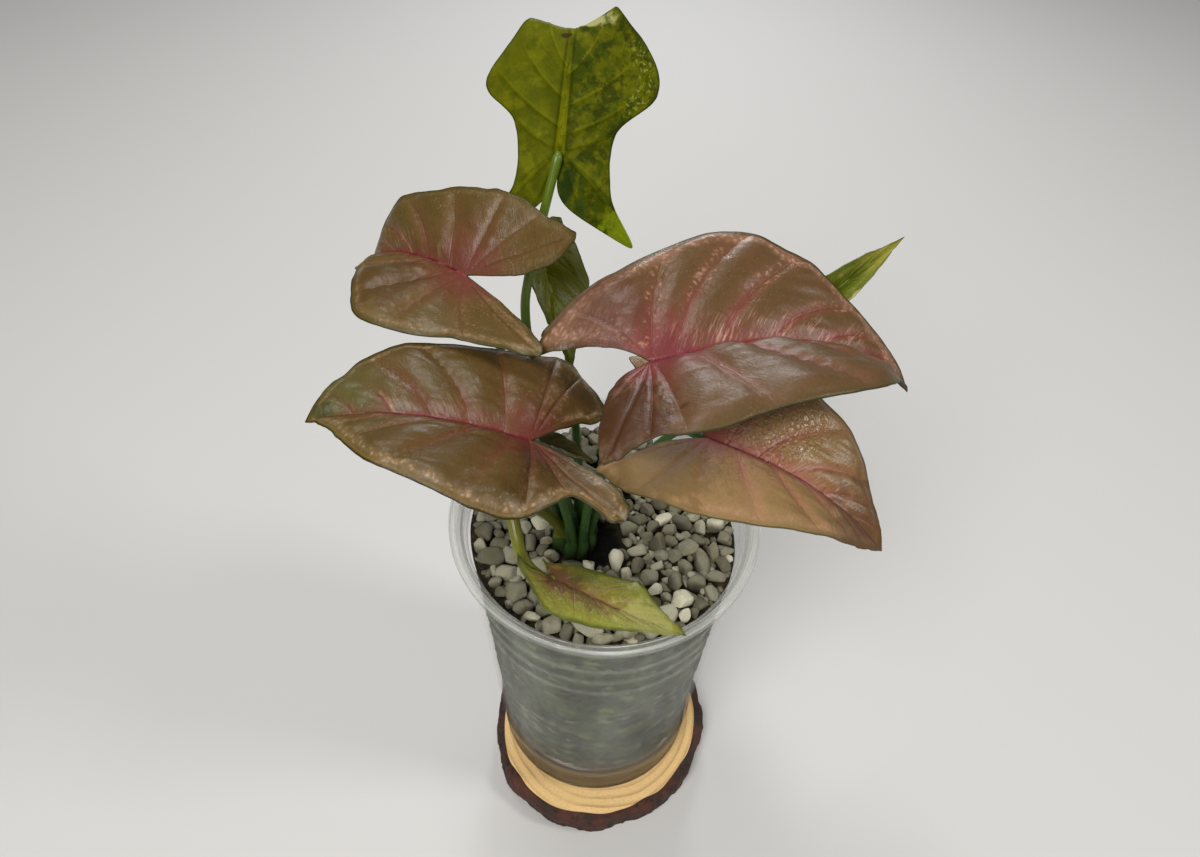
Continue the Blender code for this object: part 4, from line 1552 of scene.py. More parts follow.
@dataclass
class Cup:
    """The clear nursery cup and what fills it."""

    foot: float = 36.8  # outer radii at the foot, the band and the rim
    band: float = 43.2
    rim: float = 47.5
    height: float = 134.0
    floor: float = 16.0  # height of the raised floor above the foot
    band_height: float = 127.0
    wall: float = 1.0
    segments: int = 160
    hole_radius: float = 3.0
    hole_circle: float = 20.0
    holes: int = 5
    ridges: tuple = (14.8, 16.6, 96.0, 104.0, 112.0)  # heights of the wall's fine ridges
    mix_top: float = 121.0
    mix_rings: int = 96
    mix_segments: int = 200
    soil_rings: int = 40
    soil_segments: int = 120
    stone_top: float = 125.0
    bright: tuple = ((-4.0, -15.0, 2.5), (4.0, -12.5, 3.0), (15.5, -21.5, 2.0), (23.5, -24.5, 3.5),
                     (24.5, -29.5, 2.0))  # place and radius of the whitest stones
    batches: tuple = (StoneBatch(150, 2.2, 3.6, 0.84, 0.0, 1.0), StoneBatch(190, 1.5, 2.4, 0.74, -0.8, 0.5),
                      StoneBatch(230, 0.9, 1.5, 0.60, -1.8, -0.6))
    tries: int = 9000
    plastic: PlasticFinish = PlasticFinish()
    filling: MixFinish = MixFinish()
    stone: StoneFinish = StoneFinish()
    soil: SoilFinish = SoilFinish()

    def inner(self, height: float) -> float:
        """Return the wall's inner radius at a height above the foot."""
        share = min(max(height / self.band_height, 0.0), 1.0)
        return self.foot + (self.band - self.foot) * share - self.wall

    def surface(self, x: float) -> float:
        """Return the height of the stones' bed above the floor."""
        return POT_FOOT + self.stone_top - SURFACE_SLOPE * x

    def profile(self) -> list[tuple[float, float, float]]:
        """Draw the wall's closed section.

        Returns:
            Radius, height and how thick the plastic looks, at each point; the pale rings this draws are
            partly painted highlight.
        """
        foot, band, rim, floor, top = self.foot, self.band, self.rim, self.floor, self.height

        def outer(height: float) -> float:
            """Return the outer radius."""
            return self.inner(height) + self.wall

        outside = [(0.0, floor - 1, 0.0), (20.0, floor - 1, 0.0), (outer(floor) - 2.6, floor - 1, 0.1),
                   (outer(floor) - 1, floor - 2.4, 0.1), (foot - 1, 0.5, 0.1), (foot - 0.6, 0.0, 0.6),
                   (foot, 0.3, 0.8), (foot + 0.1, 1.2, 0.5)]
        for step in range(2, int(self.band_height), 2):
            bulge = sum(0.22 * math.exp(-((step - ridge) / 1.4) ** 2) for ridge in self.ridges)
            outside.append((outer(step) - 0.02 + bulge * 0.5, float(step), min(bulge * 1.6, 0.5)))
        rolled = [(band, self.band_height, 0.5), (band + 1.0, self.band_height + 1.0, 0.9),
                  (band + 1.2, top - 4.6, 0.1), (rim - 2.6, top - 4.3, 0.9), (rim - 1.3, top - 4.0, 0.15),
                  (rim - 0.2, top - 3.2, 0.9), (rim, top - 2.3, 0.15), (rim, top - 1.4, 0.1),
                  (rim - 0.3, top - 0.6, 1.0), (rim - 0.8, top - 0.2, 0.2), (rim - 1.6, top, 0.15),
                  (rim - 2.1, top - 0.15, 1.0), (rim - 2.5, top - 0.5, 0.15), (band + 0.4, top - 2.6, 0.9),
                  (band + 0.1, self.band_height + 1.6, 0.15), (band - 1.0, self.band_height + 0.4, 0.8)]
        inside = [(self.inner(step), float(step), 0.0)
                  for step in range(int(self.band_height) - 3, int(floor) + 2, -4)]
        base = [(self.inner(floor + 1.6), floor + 1.6, 0.1), (self.inner(floor) - 1.6, floor, 0.1),
                (0.0, floor, 0.0)]
        return outside + rolled + inside + base

    def build_wall(self) -> Object:
        """Build the cup with the drain holes in its raised floor.

        Returns:
            The cup.
        """
        bm = bmesh.new()
        thick = bm.verts.layers.float.new("thick")
        rings = []
        for radius, height, look in self.profile():
            ring = [bm.verts.new((radius * math.cos(angle), radius * math.sin(angle), height + POT_FOOT))
                    for angle in turns(self.segments)[:self.segments if radius > 0 else 1]]
            for vert in ring:
                vert[thick] = look
            rings.append(ring)
        for first, second in zip(rings, rings[1:] + rings[:1]):
            if len(first) == 1 and len(second) == 1:
                continue
            for k in range(self.segments):
                corners = [first[k % len(first)], first[(k + 1) % len(first)],
                           second[(k + 1) % len(second)], second[k % len(second)]]
                bm.faces.new([c for i, c in enumerate(corners) if c not in corners[:i]])
        bmesh.ops.recalc_face_normals(bm, faces=bm.faces)
        cup = add_piece("clear_cup", bm, "clear_plastic", "pot", self.plastic.material())
        self._drill(cup)
        return cup

    def _drill(self, cup: Object) -> None:
        """Cut the drain holes.

        Args:
            cup: The cup, which gets a new mesh.
        """
        bm = bmesh.new()
        for k in range(self.holes):
            angle = 2 * math.pi * (k + 0.5) / self.holes
            spot = Vector((self.hole_circle * math.cos(angle), self.hole_circle * math.sin(angle),
                           POT_FOOT + self.floor))
            bmesh.ops.create_cone(bm, cap_ends=True, segments=32, radius1=self.hole_radius,
                                  radius2=self.hole_radius, depth=6.0, matrix=Matrix.Translation(spot))
        cutter = bpy.data.objects.new("drain_cutter", mesh_of("drain_cutter", bm))
        bpy.context.scene.collection.objects.link(cutter)
        modifier = cup.modifiers.new("drain", "BOOLEAN")
        modifier.operation = "DIFFERENCE"
        modifier.solver = "MANIFOLD"
        modifier.object = cutter
        graph = bpy.context.evaluated_depsgraph_get()
        graph.update()
        drilled = bpy.data.meshes.new_from_object(cup.evaluated_get(graph))
        cup.modifiers.clear()
        cup.data = drilled
        bpy.data.objects.remove(cutter, do_unlink=True)

    def build_mix(self) -> Object:
        """Build the lumpy filling, seen cloudily through the wall.

        Returns:
            The filling.
        """
        low = self.floor + 0.3
        bm = bmesh.new()
        rings = []
        for row in range(self.mix_rings + 1):
            share = row / self.mix_rings
            height = low + (self.mix_top - low) * row / self.mix_rings
            radius = self.inner(height) - 0.35 - 2.4 * (1 - smoothstep(height, low, low + 2.2))
            slope = -SURFACE_SLOPE * self.inner(height)
            ring = []
            for angle in turns(self.mix_segments):
                lift = slope * math.cos(angle) * smoothstep(share, 0.8, 1.0)
                spot = Vector((radius * math.cos(angle), radius * math.sin(angle), height))
                dent = abs(noise.noise(spot * 0.17)) * 2.4 + abs(noise.noise(spot * 0.42)) * 1.2
                shrink = 1 - min(dent, 2.6) / radius
                ring.append(bm.verts.new((spot.x * shrink, spot.y * shrink, height + lift + POT_FOOT)))
            rings.append(ring)
        bridge(bm, rings)
        close_ends(bm, rings)
        return add_piece("growing_mix_body", bm, "growing_mix", "growing_mix", self.filling.material())

    def build_stones(self) -> Object:
        """Build the bed of broken stones, large ones on top and small ones in the gaps.

        Returns:
            The stones.
        """
        rng = random.Random(7)
        placed: list[tuple[float, float, float]] = []
        bm = bmesh.new()
        tint = bm.verts.layers.float.new("tint")
        low = bm.verts.layers.float.new("low")
        for x, y, size in self.bright:
            placed.append((x, y, size))
            self._add_stone(bm, rng, Vector((x, y, self.surface(x) + 1.0)), size, tint, low, 0.95)
        for batch in self.batches:
            done = tries = 0
            while done < batch.count and tries < self.tries:
                tries += 1
                size = rng.uniform(batch.small, batch.large)
                reach = (self.inner(self.stone_top) - size * 1.25 - 0.3) * math.sqrt(rng.random())
                angle = rng.uniform(0, 2 * math.pi)
                x, y = reach * math.cos(angle), reach * math.sin(angle)
                if not self._is_free(x, y, size, batch.spread, placed):
                    continue
                placed.append((x, y, size))
                done += 1
                centre = Vector((x, y, self.surface(x) + rng.uniform(batch.sink, batch.top)))
                self._add_stone(bm, rng, centre, size, tint, low)
        return add_piece("pumice_stones", bm, "pumice", "pumice_topping", self.stone.material())

    @staticmethod
    def _is_free(x: float, y: float, size: float, spread: float, placed: list[tuple]) -> bool:
        """Find out whether a stone fits beside the crown, the hollow and the other stones.

        Args:
            x: Its place.
            y: Its place.
            size: Its mean radius.
            spread: How far it stays from a stone, as a share of their radii together.
            placed: Place and radius of each stone so far.

        Returns:
            Whether it fits.
        """
        if math.hypot(x - CROWN_CENTRE[0], y - CROWN_CENTRE[1]) < 7.2 + size * 0.8:
            return False
        if math.hypot(x - HOLLOW[0], y - HOLLOW[1]) < HOLLOW[2] + size * 0.6:
            return False
        return not any((x - px) ** 2 + (y - py) ** 2 < (spread * (size + ps)) ** 2 for px, py, ps in placed)

    @staticmethod
    def _add_stone(bm: BMesh, rng: random.Random, centre: Vector, size: float, tint: object,
                   low: object, shade: float = -1.0) -> None:
        """Add one stone with broken faces and rounded corners.

        Args:
            bm: The bed's mesh.
            rng: Where the stone's shape comes from.
            centre: Its middle.
            size: Its mean radius in mm.
            tint: The layer that holds how white it is.
            low: The layer that holds how deep a point lies, which the finish darkens as painted shade.
            shade: How white it is, below 0 to leave it to rng.
        """
        turn = Matrix.Rotation(rng.uniform(0, 6.28), 3, Vector((rng.random(), rng.random(), 1)).normalized())
        squash = Matrix.Diagonal((rng.uniform(1.0, 1.35), rng.uniform(0.78, 1.0), rng.uniform(0.65, 0.9)))
        cuts = [(Vector([rng.gauss(0, 1) for _ in range(3)]).normalized(), rng.uniform(0.52, 0.80))
                for _ in range(8)]
        if shade < 0:
            shade = 0.7 if rng.random() < 0.04 else rng.random() ** 1.8 * 0.42
        seed = Vector([rng.uniform(0, 50) for _ in range(3)])
        divisions = 2 if size > 1.5 else 1
        made = bmesh.ops.create_icosphere(bm, subdivisions=divisions + 1, radius=1.0)["verts"]
        for vert in made:
            spot = vert.co.copy()
            for normal, reach in cuts:
                over = spot.dot(normal) - reach
                if over > 0:
                    spot -= normal * over * 0.94
            spot *= 1.16 + 0.08 * noise.noise(spot * 2.2 + seed)
            vert[tint] = shade
            vert[low] = max(0.0, -spot.z)
            vert.co = centre + turn @ (squash @ spot) * size

    def build_soil(self) -> Object:
        """Build the crumbly bed that shows in the gaps between the stones.

        Returns:
            The bed.
        """
        bm = bmesh.new()
        rings = []
        for row in range(1, self.soil_rings + 1):
            radius = (self.inner(self.mix_top) - 0.5) * row / self.soil_rings
            ring = []
            for angle in turns(self.soil_segments):
                x, y = radius * math.cos(angle), radius * math.sin(angle)
                bump = noise.noise(Vector((x, y, 0)) * 0.5) * 0.8
                bump -= 1.0 * (1 - smoothstep(math.hypot(x - HOLLOW[0], y - HOLLOW[1]), 5.0, HOLLOW[2] + 2))
                ring.append(bm.verts.new((x, y, self.surface(x) - 2.2 + bump)))
            rings.append(ring)
        bm.faces.new(rings[0])
        rings.append([bm.verts.new((v.co.x, v.co.y, v.co.z - 2.5)) for v in rings[-1]])
        bridge(bm, rings, flipped=True)
        return add_piece("soil_bed", bm, "growing_mix", "", self.soil.material())


@dataclass
class Slice:
    """The wood slice under the cup."""

    centre: tuple = (1.7, -6.0)
    radii: tuple = (42.5, 44.5)
    thickness: float = 10.0
    lumps: tuple = ((2, 0.7, 0.4), (3, 0.6, 1.9), (7, 0.45, 0.8), (13, 0.35, 2.5))  # count, mm and phase
    bark: float = 4.0
    segments: int = 320
    grain: EndGrainFinish = EndGrainFinish()
    skin: BarkFinish = BarkFinish()

    def spot(self, angle: float, inset: float, height: float) -> tuple[float, float, float]:
        """Find a point of the slice.

        Args:
            angle: Its direction from the centre, in radians.
            inset: Its distance in from the slice's outline.
            height: Its height.

        Returns:
            Its place.
        """
        calm = 1 - smoothstep(inset, self.bark * 0.6, self.bark)
        swell = sum(size * math.sin(count * angle + phase) * (calm if count > 3 else 1.0)
                    for count, size, phase in self.lumps) - inset
        return (self.centre[0] + (self.radii[0] + swell) * math.cos(angle),
                self.centre[1] + (self.radii[1] + swell) * math.sin(angle), height)

    def _unevenness(self, angle: float, inset: float, height: float, rough: bool) -> float:
        """Work out how far the bark and the line between bark and wood wander in.

        Args:
            angle: Direction from the centre, in radians.
            inset: Distance in from the slice's outline.
            height: Height.
            rough: Whether the point is on the bark.

        Returns:
            The extra inset.
        """
        if rough:
            probe = Vector((math.cos(angle) * 7, math.sin(angle) * 7, height * 0.18))
            return 1.3 * abs(noise.noise(probe)) + 0.7 * abs(noise.noise(probe * 3.1))
        if self.bark - 0.5 < inset < self.bark + 0.5:
            return 0.8 * noise.noise(Vector((math.cos(angle) * 4, math.sin(angle) * 4, 5.0)))
        return 0.0

    def build(self) -> Object:
        """Build the slice with sawn faces and rough bark.

        Returns:
            The slice.
        """
        top, bark = self.thickness, self.bark
        under = [(bark + 1.0, 0.0), (bark, 0.0)]
        side = [(0.9, 0.1), (0.35, 0.8)] + [(0.2, height) for height in (2.0, 3.2, 4.4, 5.6, 6.8, 8.0)]
        side += [(0.35, top - 0.7), (1.0, top), (bark * 0.5, top + 0.05)]
        sawn = [(bark, top - 0.25), (bark + 0.6, top)]
        sawn += [(float(inset), top) for inset in (7, 10, 14, 19, 25, 31, 36, 40)]
        bm = bmesh.new()
        rings = []
        for row, (inset, height) in enumerate(under + side + sawn):
            rough = len(under) <= row < len(under) + len(side)
            ring = []
            for angle in turns(self.segments):
                extra = self._unevenness(angle, inset, height, rough)
                ring.append(bm.verts.new(self.spot(angle, inset + extra, height)))
            rings.append(ring)
        for number, face in enumerate(bridge(bm, rings)):
            face.material_index = int(len(under) - 1 <= number // self.segments < len(under) + len(side))
        close_ends(bm, rings)
        return add_piece("sawn_slice", bm, "wood", "wood_slice", self.grain.material(), self.skin.material())


@dataclass(frozen=True)
class Lamp:
    """A square soft light that faces the plant."""

    name: str
    place: tuple  # mm
    size: float  # mm
    power: float  # watts
    colour: tuple = (1.0, 0.98, 0.95)
    aim: tuple = (0.0, 0.0, 140.0)

    def add(self) -> None:
        """Put the light in the scene."""
        lamp = bpy.data.lights.new(self.name, "AREA")
        lamp.shape = "SQUARE"
        lamp.size = self.size * MM
        lamp.energy = self.power
        lamp.color = self.colour
        light = bpy.data.objects.new(self.name, lamp)
        light.location = Vector(self.place) * MM
        way = Vector(self.aim) * MM - light.location
        light.rotation_euler = way.to_track_quat("-Z", "Y").to_euler()
        bpy.context.scene.collection.objects.link(light)


@dataclass
class Studio:
    """Floor, soft lights and the camera."""

    camera_place: tuple = (-2.6, -161.0, 368.0)
    look_down: float = 49.1
    camera_roll: float = 2.38
    lens: float = 27.06
    floor_half: float = 3000.0
    floor: FloorFinish = FloorFinish()
    lamps: tuple = (Lamp("key", (-300.0, -600.0, 1000.0), 500.0, 10.5),
                    Lamp("ceiling", (-200.0, 300.0, 1100.0), 220.0, 3.6),
                    Lamp("right", (750.0, -120.0, 800.0), 200.0, 3.8),
                    Lamp("back", (40.0, 850.0, 480.0), 180.0, 2.4, (0.96, 0.98, 1.0)))
    sky: tuple = (214, 216, 222)
    sky_strength: float = 0.14

    def build(self) -> None:
        """Make the floor, the lights and the camera."""
        self._build_floor()
        self._build_camera()
        bpy.context.scene.view_settings.view_transform = "Standard"
        for lamp in self.lamps:
            lamp.add()
        world = bpy.data.worlds.new("studio")
        world.use_nodes = True
        background = world.node_tree.nodes["Background"]
        background.inputs["Color"].default_value = srgb(*self.sky)
        background.inputs["Strength"].default_value = self.sky_strength
        bpy.context.scene.world = world

    def _build_floor(self) -> None:
        """Make the plain floor."""
        bm = bmesh.new()
        bmesh.ops.create_grid(bm, x_segments=4, y_segments=4, size=self.floor_half)
        ground = bpy.data.objects.new("floor", mesh_of("floor", bm))
        ground.data.materials.append(self.floor.material())
        bpy.context.scene.collection.objects.link(ground)

    def _build_camera(self) -> None:
        """Make the camera at the photograph's angle."""
        tilt, roll = math.radians(self.look_down), math.radians(self.camera_roll)
        ahead = Vector((0.0, math.cos(tilt), -math.sin(tilt)))
        up = Vector((0.0, math.sin(tilt), math.cos(tilt)))
        right = Vector((1.0, 0.0, 0.0))
        turned_right = right * math.cos(roll) + up * math.sin(roll)
        turned_up = up * math.cos(roll) - right * math.sin(roll)
        lens = bpy.data.cameras.new("camera")
        lens.lens = self.lens
        lens.sensor_width = 36.0
        lens.clip_start = 0.01
        camera = bpy.data.objects.new("camera", lens)
        axes = Matrix((turned_right, turned_up, -ahead)).transposed().to_4x4()
        camera.matrix_world = Matrix.Translation(Vector(self.camera_place) * MM) @ axes
        bpy.context.scene.collection.objects.link(camera)
        bpy.context.scene.camera = camera


# Colours of this plant's own leaves

GREEN_TOP = LeafFinish(
    "leaf_top", body=(122, 132, 34), patch=(76, 94, 14), outer=(104, 116, 26), blush=(140, 146, 52),
    line=(146, 160, 70), speck=(146, 152, 66), painted_highlight_and_streak=(160, 166, 84), margin=(56, 66, 14),
    tip=(150, 154, 56), under=(122, 128, 28), under_vein=(156, 160, 54), patchiness=0.8, blush_reach=8.0,
    blush_strength=0.35, speckle=(0.35, 0.35), blots=0.55, pale_side=0.6, gloss=0.5, shine=0.06, net=0.0,
    tone=(0.48, 0.46, 0.03), seed=3.0,
    marks=(Mark((1.5, 27.0), (2.0, 0.8), (48, 32, 16), 0.9),
           Mark((-4.5, 31.5), (6.5, 2.0), (168, 166, 108), 0.8),
           Mark((-2.5, -8.5), (2.0, 7.0), (22, 44, 8), 0.8, 8.0),
           Mark((-6.5, -15.0), (2.0, 4.5), (28, 50, 8), 0.7),
           Mark((-21.0, -21.0), (9.0, 11.0), (120, 136, 12), 0.75)))
BRONZE_UPPER_LEFT = LeafFinish(
    "leaf_upper_left", body=(138, 106, 70), patch=(116, 96, 52), blush=(152, 72, 84), line=(160, 46, 84),
    speck=(226, 184, 166), painted_highlight_and_streak=(240, 200, 190), speckle=(0.65, 0.2), tone=(0.46, 0.47, 0.32),
    painted_highlight_lines=0.75, green_tip=0.1, freckle=0.45, seed=11.0,
    marks=(Mark((-15.0, 12.0), (10.0, 9.0), (72, 48, 22), 0.65),))
BRONZE_LOWER_LEFT = LeafFinish(
    "leaf_lower_left", body=(138, 106, 72), patch=(120, 98, 58), outer=(106, 100, 48), line=(164, 48, 84),
    speck=(238, 200, 184), painted_highlight_and_streak=(232, 206, 190), blush=(164, 70, 84), blush_reach=14.0, green_tip=0.45,
    tip_from=0.45, speckle=(0.95, 0.95), freckle=0.35, painted_highlight_lines=0.6, blots=0.22, hem=0.4,
    tone=(0.39, 0.38, 0.25), seed=23.0,
    marks=(Mark((7.0, 42.0), (7.0, 8.0), (84, 82, 46), 0.5),
           Mark((12.0, 23.0), (7.0, 9.0), (78, 66, 32), 0.45),
           Mark((1.5, 49.0), (2.0, 3.0), (44, 52, 18), 0.6)))
ROSE_RIGHT = LeafFinish(
    "leaf_right", body=(146, 106, 80), patch=(118, 94, 58), blush=(172, 68, 88), line=(172, 48, 92),
    speck=(236, 184, 172), painted_highlight_and_streak=(240, 186, 184), speckle=(1.0, 0.05), matt_right=0.05, vein_speckle=0.75,
    band=4.2, feathering=(0.9, 0.08), net=0.35, tone=(0.45, 0.43, 0.34), blush_reach=20.0, vein_blush=0.6,
    green_tip=0.15, seed=37.0,
    marks=(Mark((21.0, -12.0), (16.0, 12.0), (64, 34, 12), 0.85),
           Mark((-16.0, -3.0), (13.0, 8.0), (84, 50, 36), 0.6),
           Mark((-1.0, 5.0), (5.0, 6.0), (94, 32, 40), 0.45)))
GOLD_LOWER_RIGHT = LeafFinish(
    "leaf_lower_right", body=(164, 126, 84), patch=(142, 116, 64), outer=(128, 106, 54),
    blush=(160, 72, 72), speckle=(0.45, 0.45), vein_speckle=0.35, feathering=(0.35, 0.35), blush_reach=13.0,
    green_tip=0.95, tip=(100, 74, 36), tip_from=0.28, net=0.5,
    crease=Mark((-9.0, 16.0), (15.0, 16.0), (), 1.1), matt_right=0.28, shine=0.42, tone=(0.95, 0.96, 1.05),
    seed=51.0,
    # the first mark darkens the front lobe towards olive, partly its own colour and partly painted shade
    marks=(Mark((17.0, -8.0), (17.0, 15.0), (104, 82, 36), 0.6),
           Mark((0.0, 48.0), (22.0, 15.0), (88, 60, 30), 0.65)))
MIXED_FRONT = LeafFinish(
    "leaf_front", body=(148, 148, 66), patch=(128, 130, 52), outer=(134, 140, 60), blush=(140, 84, 66),
    line=(110, 56, 48), speck=(196, 192, 124), margin=(74, 84, 22), tip=(156, 160, 78),
    under=(142, 144, 66), under_vein=(160, 160, 86), blush_reach=11.0, blush_strength=0.8, rib_blush=0.6,
    speckle=(0.25, 0.25), freckle=0.4, net=0.3, blots=0.25,
    crease=Mark((0.0, 15.0), (12.0, 25.0), (), 0.35), edging=1.2, tone=(0.84, 0.84, 0.72), seed=67.0,
    marks=(Mark((0.0, 1.5), (4.5, 6.0), (86, 54, 38), 0.7),
           Mark((0.0, 26.0), (8.0, 9.0), (168, 170, 100), 0.5),
           # painted shade: this mark darkens the folded left half beside the stalk
           Mark((-6.0, 4.0), (4.0, 8.0), (72, 80, 24), 0.6),
           Mark((3.5, 10.0), (4.0, 6.0), (98, 68, 40), 0.6)))
GREEN_BACK = LeafFinish(
    "leaf_back_right", body=(104, 118, 34), patch=(84, 102, 24), outer=(112, 122, 44), blush=(120, 130, 48),
    line=(130, 142, 60), speck=(200, 196, 130), margin=(96, 104, 40), net=0.0, tone=(0.7, 0.7, 0.4),
    tip=(190, 184, 104), under=(106, 122, 34), under_vein=(130, 142, 56), blush_strength=0.3, green_tip=0.9,
    tip_from=0.6, speckle=(0.5, 0.5), seed=71.0,
    marks=(Mark((7.5, 16.0), (2.0, 18.0), (158, 154, 88), 0.85),))
GREEN_HANGING = LeafFinish(
    "leaf_hanging", body=(128, 132, 42), patch=(98, 108, 28), outer=(116, 122, 38), blush=(140, 142, 58),
    line=(150, 158, 76), speck=(170, 172, 84), margin=(80, 90, 24), tip=(140, 142, 52),
    under=(126, 130, 46), under_vein=(146, 150, 66), blush_strength=0.3, speckle=(0.2, 0.2), net=0.0,
    shine=0.22, tone=(0.38, 0.38, 0.03), seed=83.0)
OLIVE_INNER = LeafFinish(
    "leaf_inner", body=(132, 130, 80), patch=(112, 114, 62), outer=(116, 118, 66), blush=(132, 110, 78),
    line=(112, 86, 62), margin=(80, 84, 40), under=(134, 134, 86), under_vein=(150, 148, 100),
    blush_strength=0.3, speckle=(0.2, 0.2), net=0.0, tone=(0.6, 0.6, 0.5), seed=97.0)

LEAVES = (
    Leaf("top", (-15.7, 42.7, 240.2), heading=80, pitch=62, roll=180, length=46,
         left=Half(24, widest_at=0.35, shoulder=0.81, point=0.15, waist=0.58, flank=0.62, lobe=21, splay=22,
                   inset=0.10, lobe_bend=10, lift=4, droop=-30, late_fold=0.13),
         right=Half(20, widest_at=0.30, shoulder=0.67, point=0.25, waist=0.62, flank=0.56, lobe=20, splay=15,
                    inset=0.20, lobe_bend=10, lift=4, droop=-27, late_fold=0.02, blunt=4),
         arch=0, tip_drop=0, curl=166, curl_at=0.52, ruffle=0.15, quilt=0.5, crinkle=0.1, ring_angle=118,
         stalk_radius=(1.6, 1.2), finish=GREEN_TOP, slot="leaf_green",
         stalk_finish=StalkFinish("stalk_pale", (34, 62, 12), (80, 100, 10), (106, 124, 22)),
         stalk=((-18.7, 11.0, 168.0), (-24.6, 26.7, 194.5), (-23.5, 31.5, 210.0), (-19.5, 35.0, 227.0))),
    Leaf("upper_left", (-38.0, 16.5, 220.0), heading=147, pitch=1, roll=6, length=45,
         left=Half(28, widest_at=0.21, shoulder=0.46, point=0.16, flank=0.75, lobe=32, splay=13, inset=0.37,
                   lobe_bend=4, lift=15, droop=-12, blunt=4),
         right=Half(22, widest_at=0.10, shoulder=0.66, point=0.19, flank=1.01, lobe=28, splay=18, inset=0.39,
                    lobe_bend=15, lift=39, droop=-3),
         arch=-20, tip_drop=-46, ring_angle=165, finish=BRONZE_UPPER_LEFT, slot="leaf_rose",
         stalk=((-24.0, 6.0, 175.0), (-31.0, 14.0, 200.0))),
    Leaf("lower_left", (-17.7, -29.4, 210.8), heading=175, pitch=19, roll=-12, length=53,
         left=Half(26, widest_at=0.08, shoulder=0.75, point=0.22, flank=0.67, lobe=21, splay=20, inset=0.31,
                   lobe_bend=24, lift=14, droop=-34, blunt=5),
         right=Half(26, widest_at=0.06, shoulder=0.79, point=0.45, flank=1.02, lobe=15, splay=17, inset=0.57,
                    lobe_bend=-25, lift=26, droop=-26),
         arch=-21, tip_drop=-21, ring_angle=262, finish=BRONZE_LOWER_LEFT, slot="leaf_rose",
         stalk=((-12.0, -15.0, 168.0), (-16.0, -24.0, 193.0))),
    Leaf("right", (7.9, -16.4, 224.7), heading=19, pitch=6, roll=21, length=73,
         left=Half(32, widest_at=0.32, shoulder=0.73, point=0.24, flank=0.70, lobe=15, splay=21, inset=0.55,
                   lobe_bend=-48, lift=40, droop=-8, blunt=3),
         right=Half(32, widest_at=0.05, shoulder=0.82, point=0.22, flank=0.95, lobe=19, splay=31, inset=0.28,
                    lobe_bend=-6, lift=8, droop=-21, blunt=3),
         arch=-19, tip_drop=-42, ring_angle=305, finish=ROSE_RIGHT, slot="leaf_rose",
         stalk=((-4.0, -12.0, 170.0), (3.0, -14.5, 200.0))),
    Leaf("lower_right", (24.4, -14.0, 196.4), heading=-17, pitch=-4, roll=6, length=56,
         left=Half(28, widest_at=0.11, shoulder=0.72, point=0.24, flank=0.80, lobe=24, splay=17, inset=0.45,
                   lobe_bend=-5, lift=22, droop=-9, blunt=4),
         right=Half(27, widest_at=0.14, shoulder=0.62, point=0.25, flank=1.03, lobe=22, splay=18, inset=0.51,
                    lobe_bend=-38, lift=13, droop=-13, blunt=4),
         arch=-35, tip_drop=-10, ring_angle=345, finish=GOLD_LOWER_RIGHT, slot="leaf_rose",
         stalk=((1.0, -7.0, 165.0), (13.5, -6.3, 184.5), (18.8, -8.1, 192.0))),
    Leaf("front", (-12.3, -35.7, 161.6), heading=-19, pitch=-14, roll=24, length=37,
         left=Half(11, widest_at=0.48, shoulder=0.95, point=0.34, flank=0.40, lobe=6, splay=4,
                   inset=0.45, lobe_bend=0, lift=20, droop=-14),
         right=Half(13, widest_at=0.04, shoulder=0.63, point=0.16, flank=0.59, lobe=14, splay=5, inset=0.39,
                    lobe_bend=40, lift=12, droop=-27),
         arch=0, tip_drop=10, ring_angle=215, stalk_radius=(1.7, 1.7), finish=MIXED_FRONT, slot="leaf_mixed",
         detail=Detail.MIDDLE, quilt=0.25, groove=0.3,
         stalk_finish=StalkFinish("stalk_yellow", (84, 92, 20), (116, 116, 30), (140, 136, 48)),
         stalk=((-18.0, -13.0, 161.0), (-24.5, -21.0, 174.5), (-23.0, -29.5, 171.0), (-21.0, -32.5, 165.0),
                (-17.4, -34.6, 161.5))),
    Leaf("back_right", (43.6, 15.3, 206.0), heading=27, pitch=32, roll=-35, length=40, cad_samples=3,
         left=Half(8, widest_at=0.20, lobe=9, splay=6, lift=55, droop=-10),
         right=Half(8, widest_at=0.20, lobe=9, splay=6, lift=55, droop=-10),
         arch=8, tip_drop=-14, wave=0.3, ring_angle=25, finish=GREEN_BACK, slot="leaf_green",
         detail=Detail.MIDDLE, quilt=0.12, groove=0.2, stalk=((0.0, 0.0, 165.0), (22.0, 8.0, 188.0))),
    Leaf("hanging", (-22.2, 44.6, 209.3), heading=-67, pitch=-36, roll=0, length=37, cad_samples=3,
         left=Half(11, widest_at=0.35, lobe=6, splay=6, lift=25, droop=-10),
         right=Half(6, widest_at=0.25, lobe=6, splay=3, lift=25, droop=-10),
         arch=-6, tip_drop=-6, wave=0.3, ring_angle=75, finish=GREEN_HANGING, slot="leaf_green",
         detail=Detail.MIDDLE, quilt=0.12, groove=0.25, stalk=((-10.0, 16.0, 165.0), (-15.0, 36.0, 190.0))),
    Leaf("inner", (-18.9, 0.8, 174.8), heading=-4, pitch=-21, roll=0, length=17, cad_samples=3,
         left=Half(4, widest_at=0.20, lobe=4, splay=3, lift=25, droop=-10),
         right=Half(4, widest_at=0.20, lobe=4, splay=3, lift=25, droop=-10),
         arch=-6, tip_drop=-6, wave=0.2, ring_radius=0.0, stalk_radius=(1.5, 0.9), finish=OLIVE_INNER,
         slot="leaf_olive", detail=Detail.SMALL, quilt=0.08, groove=0.15, stalk=((-13.0, -3.5, 160.0),)),
)


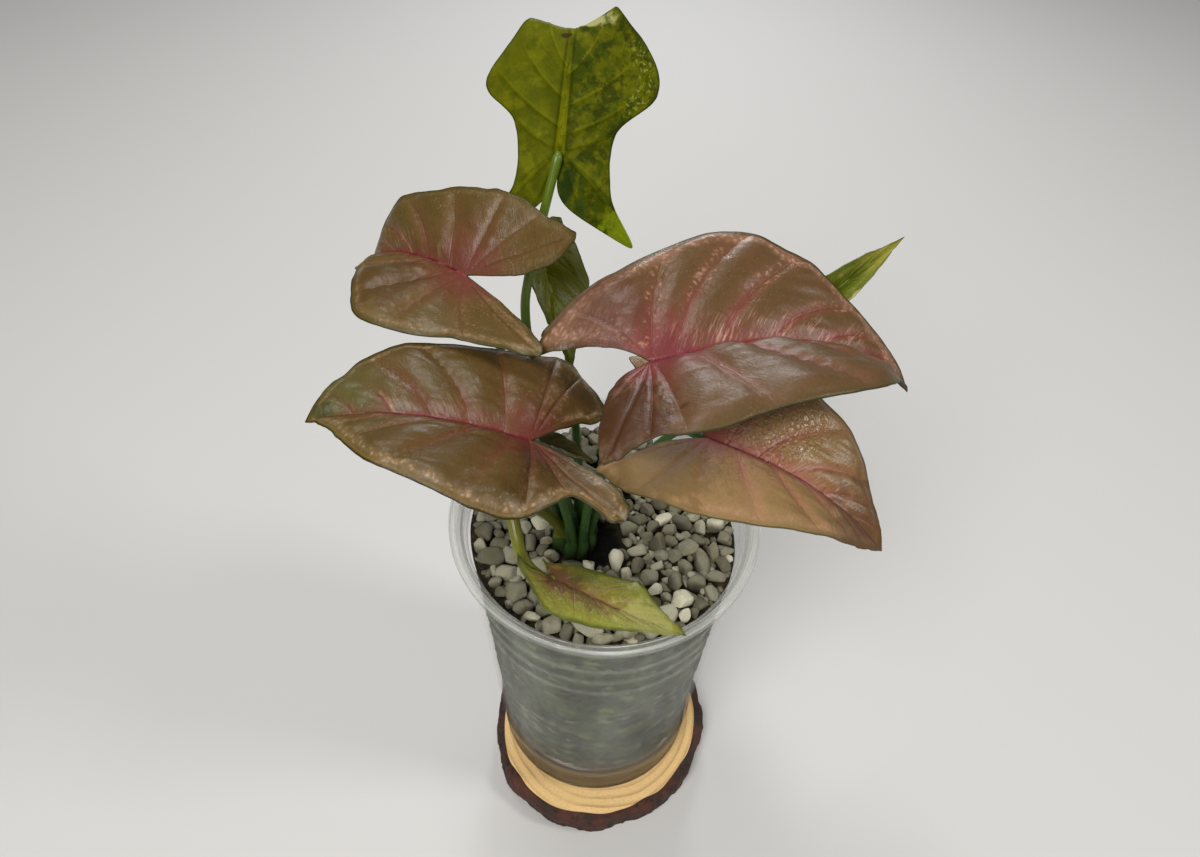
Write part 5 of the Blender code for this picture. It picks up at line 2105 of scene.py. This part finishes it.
def main() -> None:
    """Build every piece in order."""
    logging.basicConfig(level=logging.INFO, format="%(message)s")
    Studio().build()
    Slice().build()
    cup = Cup()
    cup.build_wall()
    cup.build_mix()
    cup.build_soil()
    cup.build_stones()
    Crown(LEAVES).build()
    for leaf in LEAVES:
        leaf.build_blade()
        leaf.build_stalk()


if __name__ == "__main__":
    main()
